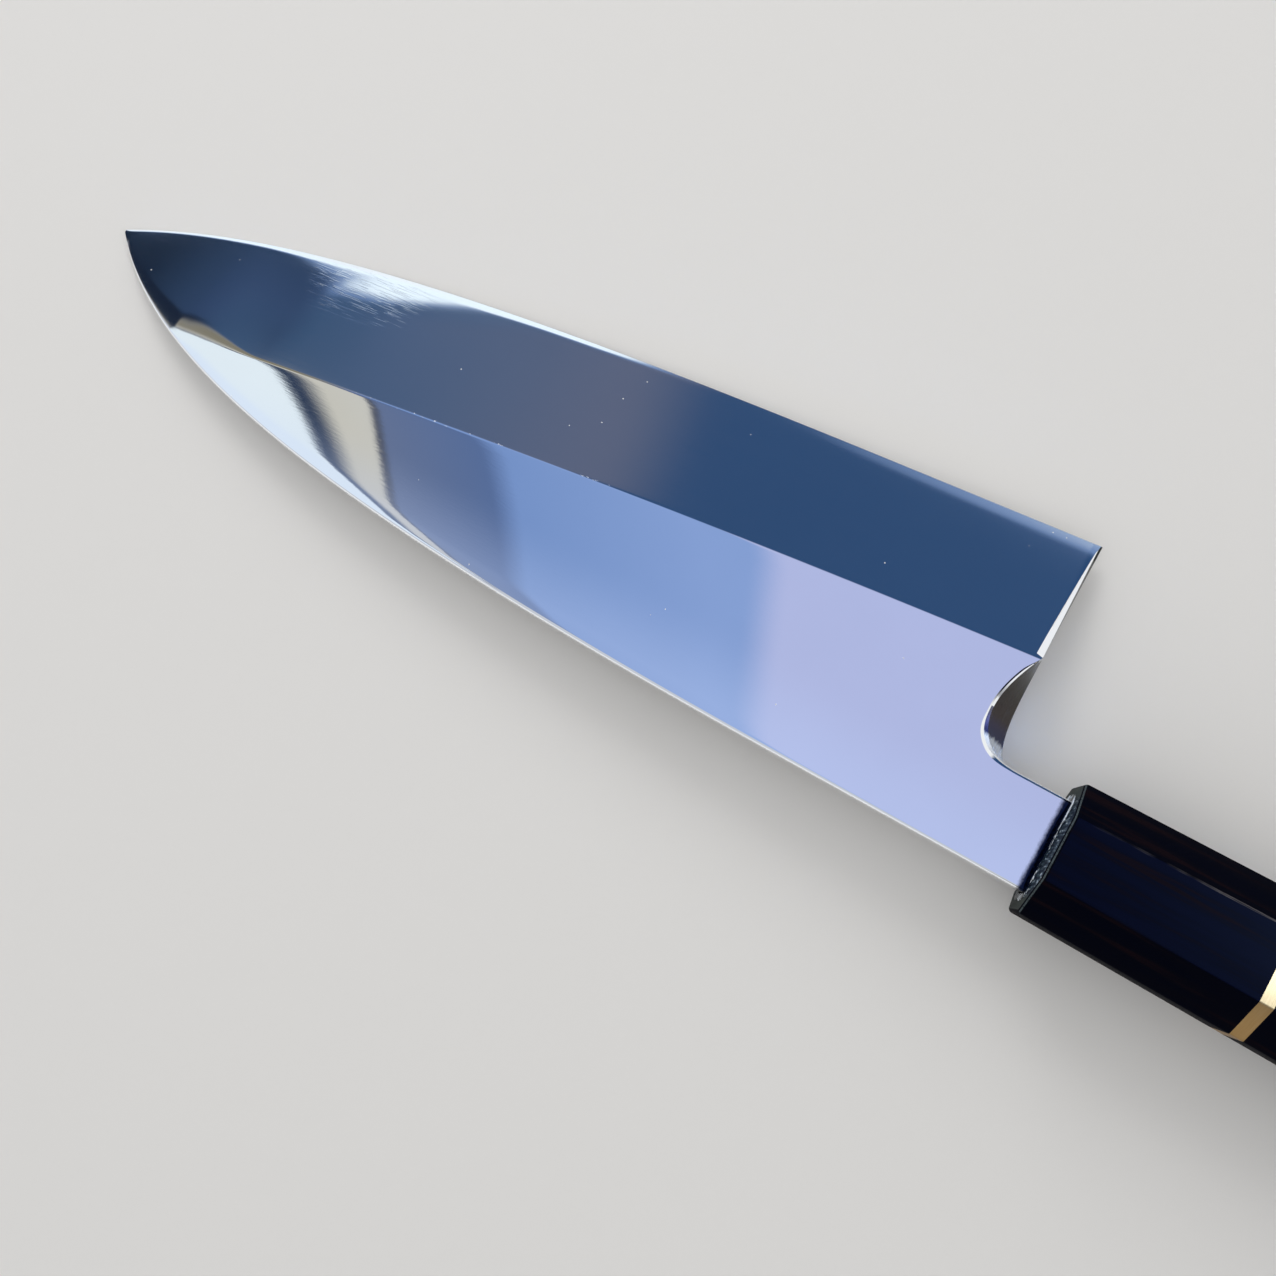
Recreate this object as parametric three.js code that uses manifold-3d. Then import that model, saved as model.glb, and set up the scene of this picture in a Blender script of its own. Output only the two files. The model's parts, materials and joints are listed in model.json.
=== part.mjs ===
// A deba: a single-bevel blade whose hidden tang is bedded in an octagonal handle of ferrule, ring and body.
// Millimetres. The knife is drawn along its handle, from the middle of the ferrule's front face: +X towards
// the butt, +Y towards the cutting edge, +Z off the face. At the end it is laid down as it lies on a table.
import * as THREE from "three";
import { mergeVertices } from "three/addons/utils/BufferGeometryUtils.js";
import { ConvexHull } from "three/addons/math/ConvexHull.js";
import Module from "manifold-3d";

// Blade, seen from its face. Heights are measured up from the straight stretch of the spine.
const bladeLength = 180;
const heelHeight = 56;
const tipRise = 26.5;
const neckLength = 13.7;
const neckWidth = 16;
const spineStraight = 46.5;
const spineTipAngle = 45.6;
const edgeStraight = 38.5;
const edgeAngle = 4.7;
const edgeTipAngle = 27.8;
const shinogiAtHeel = 33.9;
const shinogiMiddle = 25.9;
const shinogiAtTip = 10.8;

// How far the curves of the spine and the edge hold their first and last directions, as shares of their span.
const spineHold = [0.68, 0.16];
const edgeHold = [0.53, 0.2];

// Blade, across its thickness.
const spineThickness = 5.6;
const tipThickness = 2.4;
const edgeThickness = 0.15;
const spineEase = 0.7;
const bevelBulge = 0.12;
const hollowDepth = 0.5;
const hollowSpineRim = 5;
const hollowEdgeRim = 2;
const tipBlunting = 0.4;
const tipFlat = 0.5;

// The most that these details may take of a narrow section near the tip.
const flatShare = 0.3;
const easeShare = 0.3;
const easeOfFlat = 0.8;
const spineRimShare = 0.2;
const edgeRimShare = 0.15;

// Shoulder behind the heel: its end face leans towards the tip, and a scoop is ground into its face side.
const heelLean = 1.8;
const scoopReach = 4.1;
const scoopTurn = 3.1;
const scoopMiddleShare = 0.45;
const shoulderFillet = 4.7;

// Tang.
const neckSeat = 5;
const tangLength = 80;
const tangWidth = 8;
const tangEndWidth = 5;
const tangThickness = 3.6;
const tangEndThickness = 2.4;

// Handle: an octagon that widens from the ferrule to the butt.
const handleLength = 138;
const frontWidth = 22.5;
const frontDepth = 20;
const buttWidth = 25.8;
const buttDepth = 21.8;
const chamferWidth = 5.9;
const chamferDepth = 5.3;
const ferruleLength = 34.5;
const ringThickness = 2;
const frontRounding = 0.7;
const buttRounding = 1.5;

// Inside the handle.
const dowelInFerrule = 20;
const dowelPastTang = 5;
const dowelWall = 1;
const dowelSides = 48;
const beddingWall = 0.8;
const sealWidth = 1.1;
const sealHeight = 0.8;
const glueLine = 0.2;

// Grams per cubic millimetre, for the point where the knife balances.
const steelDensity = 0.00785;
const brassDensity = 0.0085;
const ebonyDensity = 0.0011;
const dowelDensity = 0.0007;
const glueDensity = 0.0012;

const bladeStations = 60;
const stationCrowding = 1.4;
const hollowSteps = [0.15, 0.3, 0.5, 0.7, 0.85];
const bevelSteps = [0.25, 0.5, 0.75];
const shoulderSteps = 14;
const cutMargin = 3;

const heelX = -neckLength;
const tipX = heelX - bladeLength;
const spineY = -neckWidth / 2;
const neckTop = neckWidth / 2;
const backZ = -spineThickness / 2;

const wasm = await Module();
wasm.setup();
const { lerp, degToRad } = THREE.MathUtils;

// Turns a closed geometry into a solid.
function solidOf(geometry) {
  geometry.deleteAttribute("normal");
  geometry.deleteAttribute("uv");
  const merged = mergeVertices(geometry);
  const vertProperties = merged.attributes.position.array;
  const triVerts = new Uint32Array(merged.index.array);
  return new wasm.Manifold(new wasm.Mesh({ numProp: 3, vertProperties, triVerts }));
}

function geometryOf(solid) {
  const mesh = solid.getMesh();
  return new THREE.BufferGeometry()
    .setAttribute("position", new THREE.BufferAttribute(mesh.vertProperties, 3))
    .setIndex(new THREE.BufferAttribute(mesh.triVerts, 1));
}

// Skins a row of rings with equal numbers of points and closes both ends. The rings run counter-clockwise
// as seen from the last one, and flatten gives a point's place in the plane of its ring.
function loft(rings, flatten) {
  const size = rings[0].length;
  const index = [];
  for (let ring = 0; ring < rings.length - 1; ring++) {
    for (let i = 0; i < size; i++) {
      const a = ring * size + i;
      const b = ring * size + ((i + 1) % size);
      index.push(a, b, b + size, a, b + size, a + size);
    }
  }
  for (const [a, b, c] of THREE.ShapeUtils.triangulateShape(rings[0].map(flatten), [])) {
    index.push(c, b, a);
  }
  const last = (rings.length - 1) * size;
  for (const [a, b, c] of THREE.ShapeUtils.triangulateShape(rings.at(-1).map(flatten), [])) {
    index.push(last + a, last + b, last + c);
  }
  return solidOf(new THREE.BufferGeometry().setFromPoints(rings.flat()).setIndex(index));
}

const acrossHandle = (point) => new THREE.Vector2(point.y, point.z);
const acrossFace = (point) => new THREE.Vector2(point.x, point.y);

// A rectangle across the handle's axis, at x.
function rectangle(x, width, thickness) {
  const y = width / 2;
  const z = thickness / 2;
  return [
    new THREE.Vector3(x, -y, -z),
    new THREE.Vector3(x, y, -z),
    new THREE.Vector3(x, y, z),
    new THREE.Vector3(x, -y, z),
  ];
}

function bar(fromX, toX, width, thickness) {
  return loft([rectangle(fromX, width, thickness), rectangle(toX, width, thickness)], acrossHandle);
}

function rod(fromX, toX, radius) {
  const geometry = new THREE.CylinderGeometry(radius, radius, toX - fromX, dowelSides);
  return solidOf(geometry.rotateZ(Math.PI / 2).translate((fromX + toX) / 2, 0, 0));
}

// The height of a curve that runs steadily towards the tip, at x.
function heightOn(curve, x) {
  let near = 0;
  let far = 1;
  for (let step = 0; step < 40; step++) {
    const middle = (near + far) / 2;
    if (curve.getPoint(middle).x > x) near = middle;
    else far = middle;
  }
  return curve.getPoint(near).y;
}

// A curve from a start to the tip: it leaves along one direction and comes in along another.
function curveToTip(start, startAngle, tipAngle, hold) {
  const tip = new THREE.Vector2(tipX, spineY + tipRise);
  const span = start.x - tip.x;
  const leaving = new THREE.Vector2(-1, -Math.tan(degToRad(startAngle))).multiplyScalar(span * hold[0]);
  const coming = new THREE.Vector2(span * hold[1], 0).rotateAround(new THREE.Vector2(), degToRad(tipAngle));
  return new THREE.CubicBezierCurve(start, leaving.add(start), coming.add(tip), tip);
}

const spineStart = new THREE.Vector2(-spineStraight, spineY);
const spineCurve = curveToTip(spineStart, 0, -spineTipAngle, spineHold);
const edgeDrop = Math.tan(degToRad(edgeAngle));
const edgeAtHeel = spineY + heelHeight;
const edgeStart = new THREE.Vector2(heelX - edgeStraight, edgeAtHeel - edgeStraight * edgeDrop);
const edgeCurve = curveToTip(edgeStart, edgeAngle, edgeTipAngle, edgeHold);

function spineAt(x) {
  return x > spineStart.x ? spineY : heightOn(spineCurve, x);
}

function edgeAt(x) {
  return x > edgeStart.x ? edgeAtHeel + (x - heelX) * edgeDrop : heightOn(edgeCurve, x);
}

// The ridge between flat and bevel, a shallow parabola that runs on past the spine to below the tip.
function shinogiAt(x) {
  const share = (heelX - x) / bladeLength;
  const first = lerp(shinogiAtHeel, shinogiMiddle, share);
  const second = lerp(shinogiMiddle, shinogiAtTip, share);
  return spineY + lerp(first, second, share);
}

function thicknessAt(x) {
  return lerp(spineThickness, tipThickness, Math.max(0, x / tipX));
}

// The section of the blade at x: back with its shallow hollow, edge, bevel, flat and eased spine.
function bladeSection(x) {
  const spine = spineAt(x);
  const edge = edgeAt(x);
  const width = edge - spine;
  const thickness = thicknessAt(x);
  const slope = thickness / (edge - shinogiAt(x));
  const ridge = Math.max(shinogiAt(x), spine + Math.min(tipFlat, width * flatShare));
  const ridgeHeight = Math.min(thickness, edgeThickness + (edge - ridge) * slope);
  const ease = Math.min(spineEase, ridgeHeight * easeShare, (ridge - spine) * easeOfFlat);
  const hollowShare = THREE.MathUtils.clamp((heelX - x) / bladeLength, 0, 1);
  const depth = hollowDepth * Math.sqrt(Math.sin(Math.PI * hollowShare));
  const hollowStart = spine + Math.min(hollowSpineRim, width * spineRimShare);
  const hollowEnd = edge - Math.min(hollowEdgeRim, width * edgeRimShare);
  const outline = [[spine, ease], [spine + ease, 0], [hollowStart, 0]];
  for (const share of hollowSteps) {
    outline.push([lerp(hollowStart, hollowEnd, share), depth * 4 * share * (1 - share)]);
  }
  outline.push([hollowEnd, 0], [edge, 0], [edge, edgeThickness]);
  for (const share of bevelSteps) {
    const bulge = bevelBulge * (ridgeHeight / spineThickness) * 4 * share * (1 - share);
    outline.push([lerp(edge, ridge, share), lerp(edgeThickness, ridgeHeight, share) + bulge]);
  }
  outline.push([ridge, ridgeHeight], [spine + ease, ridgeHeight], [spine, ridgeHeight - ease]);
  return outline.map(([y, z]) => new THREE.Vector3(x, y, backZ + z));
}

// What is cut away behind the heel. Its outline on the back is a straight shoulder, and on the face it lies
// nearer the tip and bows into the scoop.
function shoulderCut() {
  const top = edgeAtHeel + cutMargin * 2;
  const end = neckSeat + cutMargin;
  const scoopTop = spineY + shinogiAtHeel;
  const scoopMiddle = lerp(neckTop, scoopTop, scoopMiddleShare);
  function outlineAt(share) {
    const heel = heelX - heelLean * share;
    const curve = new THREE.CubicBezierCurve(
      new THREE.Vector2(heel, scoopTop),
      new THREE.Vector2(heel - scoopReach * share, scoopMiddle),
      new THREE.Vector2(heel - scoopTurn * share, neckTop),
      new THREE.Vector2(heelX + shoulderFillet, neckTop),
    );
    const points = [new THREE.Vector2(heel, top), ...curve.getPoints(shoulderSteps)];
    points.push(new THREE.Vector2(end, neckTop), new THREE.Vector2(end, top));
    const z = backZ + spineThickness * share;
    return points.map((point) => new THREE.Vector3(point.x, point.y, z));
  }
  const beyond = cutMargin / spineThickness;
  return loft([outlineAt(-beyond), outlineAt(1 + beyond)], acrossFace);
}

function tang(fromX, growth) {
  const root = rectangle(fromX, tangWidth + 2 * growth, tangThickness + 2 * growth);
  const end = rectangle(tangLength + growth, tangEndWidth + 2 * growth, tangEndThickness + 2 * growth);
  return loft([root, end], acrossHandle);
}

function blade() {
  const sections = [];
  for (let station = 0; station <= bladeStations; station++) {
    const share = Math.pow(station / bladeStations, stationCrowding);
    sections.push(bladeSection(lerp(tipX + tipBlunting, neckSeat, share)));
  }
  const body = loft(sections, acrossHandle).subtract(shoulderCut());
  return body.add(tang(neckSeat - cutMargin, 0));
}

// The handle's section at x, drawn in evenly by an inset.
function octagon(x, inset) {
  const share = x / handleLength;
  const y = lerp(frontWidth, buttWidth, share) / 2 - inset;
  const z = lerp(frontDepth, buttDepth, share) / 2 - inset;
  const sideCut = inset * (2 - Math.SQRT2);
  const flatY = y - chamferWidth + sideCut;
  const flatZ = z - chamferDepth + sideCut;
  const upper = [[y, flatZ], [flatY, z], [-flatY, z], [-y, flatZ]];
  const lower = upper.map(([across, up]) => [-across, -up]);
  return [...upper, ...lower].map(([across, up]) => new THREE.Vector3(x, across, up));
}

// Rings that round an end of the handle over, from its end face at x to the full section.
function roundedEnd(x, inwards, radius) {
  return [0, 1, 2].map((step) => {
    const angle = (step * Math.PI) / 4;
    return octagon(x + inwards * radius * (1 - Math.cos(angle)), radius * (1 - Math.sin(angle)));
  });
}

// The tang's slot leaves room for the bedding and a glue line on each side of it.
const slotAllowance = 2 * (beddingWall + 2 * glueLine);
const slotWidth = tangWidth + slotAllowance;
const slotThickness = tangThickness + slotAllowance;
const slotEnd = tangLength + 3 * glueLine + beddingWall;
const dowelRadius = Math.hypot(slotWidth, slotThickness) / 2 + dowelWall;
const dowelStart = ferruleLength - dowelInFerrule;
const ringStart = ferruleLength + glueLine;
const bodyStart = ringStart + ringThickness + glueLine;
const dowelEnd = slotEnd + dowelPastTang;

function boreFrom(x) {
  return rod(x, dowelEnd + glueLine, dowelRadius + glueLine);
}

function ferrule() {
  const rings = [...roundedEnd(0, 1, frontRounding), octagon(ferruleLength, 0)];
  const pocketWidth = neckWidth + 2 * glueLine;
  const pocketThickness = spineThickness + 2 * glueLine;
  return loft(rings, acrossHandle)
    .subtract(bar(-cutMargin, neckSeat + glueLine, pocketWidth, pocketThickness))
    .subtract(bar(0, ferruleLength, slotWidth, slotThickness))
    .subtract(boreFrom(dowelStart - glueLine));
}

function brassRing() {
  const rings = [octagon(ringStart, 0), octagon(ringStart + ringThickness, 0)];
  return loft(rings, acrossHandle).subtract(boreFrom(0));
}

function handleBody() {
  const rings = [octagon(bodyStart, 0), ...roundedEnd(handleLength, -1, buttRounding).reverse()];
  return loft(rings, acrossHandle).subtract(boreFrom(0));
}

function coreDowel() {
  const slot = bar(dowelStart - cutMargin, slotEnd, slotWidth, slotThickness);
  return rod(dowelStart, dowelEnd, dowelRadius).subtract(slot);
}

function tangBedding() {
  const start = neckSeat + 2 * glueLine;
  const filling = bar(start, slotEnd - glueLine, slotWidth - 2 * glueLine, slotThickness - 2 * glueLine);
  return filling.subtract(tang(neckSeat - cutMargin, glueLine));
}

// A bead that is widest on the ferrule's face and rises to the neck.
function tangSeal() {
  const width = neckWidth + 2 * glueLine;
  const thickness = spineThickness + 2 * glueLine;
  const foot = rectangle(-glueLine, width + 2 * sealWidth, thickness + 2 * sealWidth);
  const lip = rectangle(-glueLine - sealHeight, width + sealWidth, thickness + sealWidth);
  return loft([lip, foot], acrossHandle).subtract(bar(-cutMargin, cutMargin, width, thickness));
}

const steel = { color: 0xb9c2d0, metalness: 1, roughness: 0.12 };
const ebony = { color: 0x1a1614, metalness: 0, roughness: 0.35 };
const brass = { color: 0xc89a52, metalness: 1, roughness: 0.25 };
const hardwood = { color: 0xb08a5c, metalness: 0, roughness: 0.7 };
const glue = { color: 0x3a332c, metalness: 0, roughness: 0.4 };
const seal = { color: 0x15161a, metalness: 0, roughness: 0.25 };

const pieces = [
  ["blade", blade(), steel, steelDensity],
  ["ferrule", ferrule(), ebony, ebonyDensity],
  ["brass_ring", brassRing(), brass, brassDensity],
  ["handle_body", handleBody(), ebony, ebonyDensity],
  ["core_dowel", coreDowel(), hardwood, dowelDensity],
  ["tang_bedding", tangBedding(), glue, glueDensity],
  ["tang_seal", tangSeal(), seal, glueDensity],
];

const knife = new THREE.Group();
const outerPoints = [];
const massMoment = new THREE.Vector3();
let mass = 0;

// Adds a piece, and its share of the knife's mass, summed over the pyramids from the origin to each triangle.
for (const [name, solid, finish, density] of pieces) {
  const geometry = geometryOf(solid);
  const mesh = new THREE.Mesh(geometry, new THREE.MeshStandardMaterial(finish));
  mesh.name = name;
  knife.add(mesh);
  const position = geometry.attributes.position;
  const corners = [];
  for (let i = 0; i < position.count; i++) {
    corners.push(new THREE.Vector3().fromBufferAttribute(position, i));
  }
  outerPoints.push(...corners);
  for (let i = 0; i < geometry.index.count; i += 3) {
    const [a, b, c] = [0, 1, 2].map((corner) => corners[geometry.index.getX(i + corner)]);
    const share = (density * a.dot(new THREE.Vector3().crossVectors(b, c))) / 6;
    massMoment.addScaledVector(new THREE.Vector3().add(a).add(b).add(c), share / 4);
    mass += share;
  }
}

// The knife lies on the triangle of its hull that the balance point stands over, of those that face down.
const balance = massMoment.divideScalar(mass);
const restingFaces = new ConvexHull().setFromPoints(outerPoints).faces.filter((face) => {
  const corners = [0, 1, 2].map((corner) => face.getEdge(corner).head().point);
  const foot = new THREE.Plane(face.normal, -face.constant).projectPoint(balance, new THREE.Vector3());
  return THREE.Triangle.containsPoint(foot, ...corners);
});
restingFaces.sort((one, other) => one.normal.z - other.normal.z);
knife.quaternion.setFromUnitVectors(restingFaces[0].normal, new THREE.Vector3(0, 0, -1));

// The origin is on the table, under the middle of the knife's bounds.
const bounds = new THREE.Box3().setFromObject(knife, true);
const middle = bounds.getCenter(new THREE.Vector3());
knife.position.set(-middle.x, -middle.y, -bounds.min.z);

const part = new THREE.Group();
part.add(knife);
export default part;
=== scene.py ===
# %% [markdown]
# # A deba knife
# A deba is the heavy kitchen knife for fish. This one has a mirror-polished blade that is ground on one
# face only, and a dark octagonal handle with a thin brass ring. The CAD model gives every size and place.
# Here it gets smooth curves, polish, grain and light.

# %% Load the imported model
import json
import math
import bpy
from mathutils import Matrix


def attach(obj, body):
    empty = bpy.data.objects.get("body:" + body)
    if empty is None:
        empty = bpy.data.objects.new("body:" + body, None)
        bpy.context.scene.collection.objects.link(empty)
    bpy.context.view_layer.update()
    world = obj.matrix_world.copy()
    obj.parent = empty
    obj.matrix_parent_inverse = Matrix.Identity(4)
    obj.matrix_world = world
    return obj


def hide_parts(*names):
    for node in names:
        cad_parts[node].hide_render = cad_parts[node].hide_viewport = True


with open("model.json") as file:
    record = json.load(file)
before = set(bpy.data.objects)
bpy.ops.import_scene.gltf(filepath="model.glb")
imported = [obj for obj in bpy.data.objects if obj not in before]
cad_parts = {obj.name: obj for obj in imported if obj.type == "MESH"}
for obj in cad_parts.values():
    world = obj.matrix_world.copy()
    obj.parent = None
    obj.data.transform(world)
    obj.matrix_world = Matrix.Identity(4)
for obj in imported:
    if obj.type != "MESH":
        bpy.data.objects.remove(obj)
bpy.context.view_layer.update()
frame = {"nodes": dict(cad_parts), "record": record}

from types import SimpleNamespace
import bpy
from mathutils import Matrix, Vector, noise

# %% [markdown]
# ## The knife's own frame
# The knife lies a little tilted, because its handle is thicker than its blade. It is far easier to model
# along the handle: X towards the butt, Y towards the cutting edge, Z off the face, from the middle of the
# ferrule's front. The two flats of the handle and the middle of the brass ring give that frame, so each
# piece is modelled upright and then laid down by one matrix.

# %% Find the knife's frame from the CAD model
MM = 0.001
RING_MIDDLE = 35.7

flats = {mount["name"]: mount for mount in frame["record"]["mounts"]}
upper, lower = flats["handle_upper_flat"], flats["handle_lower_flat"]
off_face = (Vector(upper["axis"]) - Vector(lower["axis"])).normalized()
on_axis = (Vector(upper["pos_m"]) + Vector(lower["pos_m"])) / 2
ring_points = {tuple(round(c, 6) for c in v.co) for v in frame["nodes"]["brass_ring"].data.vertices}
ring_centre = sum((Vector(p) for p in ring_points), Vector()) / len(ring_points)
to_butt = (on_axis - ring_centre).normalized()
to_edge = off_face.cross(to_butt)
KNIFE = Matrix((to_butt, to_edge, off_face)).transposed().to_4x4()
KNIFE.translation = ring_centre - to_butt * RING_MIDDLE * MM
print("knife frame, degrees:", [round(math.degrees(a), 2) for a in KNIFE.to_euler()])

# %% [markdown]
# ## Camera
# The picture is taken from close above the flat, with a plain wide lens, and the handle runs out of it at
# the lower right. A camera can be pushed about by eye until the outlines agree. Here its place and the
# sides of its picture are written down in the knife's frame, so that the view stays right however the
# knife lies.

# %% Place the camera
CAMERA_AT = Vector((-34.22, -23.56, 222.10))
PICTURE_RIGHT = Vector((0.8633, 0.4944, -0.1011)).normalized()
PICTURE_DOWN = Vector((0.4754, -0.8640, -0.1658))
LENS, SENSOR, NEAREST = 38.71, 36.0, 0.01


def name_new(name):
    """Names the object that an operator has just added."""
    made = bpy.context.object
    made.name = name
    made.data.name = name
    return made


forward = PICTURE_RIGHT.cross(PICTURE_DOWN).normalized()
picture_up = PICTURE_RIGHT.cross(forward).normalized()
turned = Matrix((PICTURE_RIGHT, picture_up, -forward)).transposed().to_4x4()
bpy.ops.object.camera_add()
camera = name_new("camera")
camera.matrix_world = KNIFE @ Matrix.Translation(CAMERA_AT * MM) @ turned
camera.data.sensor_width = SENSOR
camera.data.lens = LENS
camera.data.clip_start = NEAREST
bpy.context.scene.camera = camera
print("camera at", [round(c, 3) for c in camera.matrix_world.translation])

# %% [markdown] ## Floor The knife lies on a plain pale floor. A box with walls would do as well, but
# one big plane fills the picture and takes the shadow.

# %% Lay the floor
FLOOR_SIZE = 8.0
FLOOR_COLOUR = (0.78, 0.77, 0.755, 1)


def only(*objects):
    """Selects these objects alone and makes the last one active."""
    if bpy.context.mode != "OBJECT":
        bpy.ops.object.mode_set(mode="OBJECT")
    bpy.ops.object.select_all(action="DESELECT")
    for thing in objects:
        thing.select_set(True)
        bpy.context.view_layer.objects.active = thing


only()
bpy.ops.mesh.primitive_plane_add(size=FLOOR_SIZE, location=(0, 0, 0))
floor = name_new("floor")
floor_paint = bpy.data.materials.new("pale_floor")
floor_paint.use_nodes = True
floor_shader = floor_paint.node_tree.nodes["Principled BSDF"]
floor_shader.inputs["Base Color"].default_value = FLOOR_COLOUR
floor_shader.inputs["Roughness"].default_value = 1.0
floor_shader.inputs["Specular IOR Level"].default_value = 0.0
floor.data.materials.append(floor_paint)
print("floor:", [round(d, 1) for d in floor.dimensions], "m")


# %% [markdown]
# ## Sky
# Polished steel has hardly any colour of its own: it shows the room. Cards and lamps round the knife
# could stand for the room, but each would also light the floor. So the sky is painted with nodes, as soft
# areas of tone that depend on direction alone. Mirrors see them, and everything else gets plain white
# light.

# %% Tools for node trees
def add(tree, kind, **values):
    """Adds a node and sets its properties."""
    node = tree.nodes.new(kind)
    for key, value in values.items():
        setattr(node, key, value)
    return node


def wire(tree, source, target, socket):
    """Joins an output, or writes a plain value, to an input."""
    if hasattr(source, "is_output"):
        tree.links.new(source, target.inputs[socket])
    else:
        target.inputs[socket].default_value = source


def math_node(tree, operation, *values):
    node = add(tree, "ShaderNodeMath", operation=operation)
    for place, value in enumerate(values):
        wire(tree, value, node, place)
    return node.outputs[0]


def times(tree, product, *others):
    for other in others:
        product = math_node(tree, "MULTIPLY", product, other)
    return product


def scaled(tree, value, by, plus):
    return math_node(tree, "MULTIPLY_ADD", value, by, plus)


def split(tree, place):
    """The X, Y and Z of a place."""
    node = add(tree, "ShaderNodeSeparateXYZ")
    wire(tree, place, node, 0)
    return node.outputs


print("node tools:", [tool.__name__ for tool in (add, wire, math_node, times, scaled, split)])


# %% Tools for tones
# A Mix node has sockets for numbers, vectors and colours. These are the numbers of those for colours.
FIRST_COLOUR, SECOND_COLOUR, MIXED_COLOUR = 6, 7, 2


def srgb(*levels):
    """A colour given in the 0 to 255 steps of a picture, as the light that it stands for."""
    linear = [(c / 255 / 12.92) if c < 10.3 else ((c / 255 + 0.055) / 1.055) ** 2.4 for c in levels]
    return (*linear, 1.0)


def fade(tree, value, low, high):
    """0 at low and 1 at high, with a smooth rise between them."""
    node = add(tree, "ShaderNodeMapRange", interpolation_type="SMOOTHSTEP")
    wire(tree, value, node, "Value")
    node.inputs["From Min"].default_value = low
    node.inputs["From Max"].default_value = high
    return node.outputs["Result"]


def within(tree, *limits):
    """1 where all the fades are past, each given as a value and its low and high."""
    return times(tree, *(fade(tree, *limit) for limit in limits))


def ramp(tree, value, *stops):
    """A colour ramp from places and colours."""
    node = add(tree, "ShaderNodeValToRGB")
    steps = node.color_ramp.elements
    while len(steps) < len(stops):
        steps.new(0.5)
    for step, (place, colour) in zip(steps, stops):
        step.position = place
        step.color = colour
    wire(tree, value, node, "Fac")
    return node.outputs["Color"]


def blend(tree, share, first, second):
    node = add(tree, "ShaderNodeMix", data_type="RGBA")
    wire(tree, share, node, "Factor")
    wire(tree, first, node, FIRST_COLOUR)
    wire(tree, second, node, SECOND_COLOUR)
    return node.outputs[MIXED_COLOUR]


print("a middle grey is", round(srgb(128)[0], 3), "as light")

# %% [markdown]
# ### Directions
# A place in the sky is named by how far it leans along the knife and across it for each unit of rise.
# Angles would do too, but with leans a straight border in the sky stays straight in a flat mirror.

# %% Start the sky
LEAST_RISE = 0.05
world = bpy.data.worlds.new("studio_sky")
world.use_nodes = True
bpy.context.scene.world = world
sky = world.node_tree
sky.nodes.clear()
way = split(sky, add(sky, "ShaderNodeTexCoord").outputs["Generated"])
rise = math_node(sky, "MAXIMUM", way["Z"], LEAST_RISE)
along = math_node(sky, "DIVIDE", way["X"], rise)
across = math_node(sky, "DIVIDE", way["Y"], rise)
print("directions:", len(sky.nodes), "nodes")

# %% [markdown]
# ### Overhead
# The flat of the blade mirrors this part: a bright round window off the tip with a pale strip beside it,
# and blue beyond a slanted border, turning to lavender by the handle. Round areas follow the distance
# from the window's middle, and straight ones follow a lean.

# %% Paint the sky overhead
WINDOW = (-0.80, -0.13)
SLANT, HANDLE_SLANT = 0.942, 0.41
LAVENDER, WINDOW_FRAME, SPINE_LIGHT = srgb(185, 194, 236), srgb(84, 90, 106), srgb(205, 225, 268)
LAVENDER_FROM, FRAME_FROM, WINDOW_FROM = (-0.082, -0.044), (-0.284, -0.291), (-0.293, -0.300)
SPINE_LIGHT_FROM, SPINE_LIGHT_SHARE = (0.235, 0.165), 0.26
off_window = [math_node(sky, "SUBTRACT", lean, middle) for lean, middle in zip((along, across), WINDOW)]
squares = [times(sky, off, off) for off in off_window]
from_window = math_node(sky, "SQRT", math_node(sky, "ADD", *squares))
blue = ramp(sky, from_window, (0.470, srgb(104, 120, 155)), (0.540, srgb(92, 115, 160)),
            (0.558, srgb(124, 154, 208)), (0.700, srgb(141, 168, 221)))
to_handle = scaled(sky, across, HANDLE_SLANT, along)
blue = blend(sky, fade(sky, to_handle, *LAVENDER_FROM), blue, LAVENDER)
slanted = scaled(sky, across, SLANT, along)
blue = blend(sky, fade(sky, slanted, *FRAME_FROM), blue, WINDOW_FRAME)
window = ramp(sky, from_window, (0.411, srgb(236, 248, 255)), (0.415, srgb(42, 56, 82)),
              (0.424, srgb(56, 70, 94)), (0.437, srgb(206, 204, 194)), (0.470, srgb(208, 207, 200)))
overhead = blend(sky, fade(sky, slanted, *WINDOW_FROM), blue, window)
by_spine = times(sky, fade(sky, across, *SPINE_LIGHT_FROM), SPINE_LIGHT_SHARE)
overhead = blend(sky, by_spine, overhead, SPINE_LIGHT)
print("overhead:", len(sky.nodes), "nodes")

# %% [markdown]
# ### Beyond the edge
# The bevel leans towards the cutting edge, so it mirrors a lower and deeper blue, nearly black off the
# tip. The last part of the bevel rolls over and catches a white that stands lower still.

# %% Paint the sky beyond the edge
RAMP_SHIFT = 1.1
EDGE_SLANT, GAP_DROP = -0.4, 0.28
RAIL, TIP_DARK = srgb(132, 127, 110), srgb(24, 36, 56)
BEVEL_FROM = (0.40, 0.50)
from_tip = math_node(sky, "ADD", along, RAMP_SHIFT)
deep_blue = ramp(sky, from_tip, (0.04, srgb(24, 38, 58)), (0.16, srgb(43, 63, 92)), (0.27, srgb(52, 73, 108)),
                 (0.38, srgb(60, 87, 121)), (0.50, srgb(79, 99, 132)), (0.675, srgb(98, 106, 131)),
                 (0.735, srgb(48, 78, 119)))
dome = blend(sky, fade(sky, across, *BEVEL_FROM), overhead, deep_blue)
rail = within(sky, (across, 0.29, 0.34), (across, 0.50, 0.42), (along, -0.56, -0.66), (along, -0.81, -0.75))
dome = blend(sky, rail, dome, RAIL)
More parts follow.
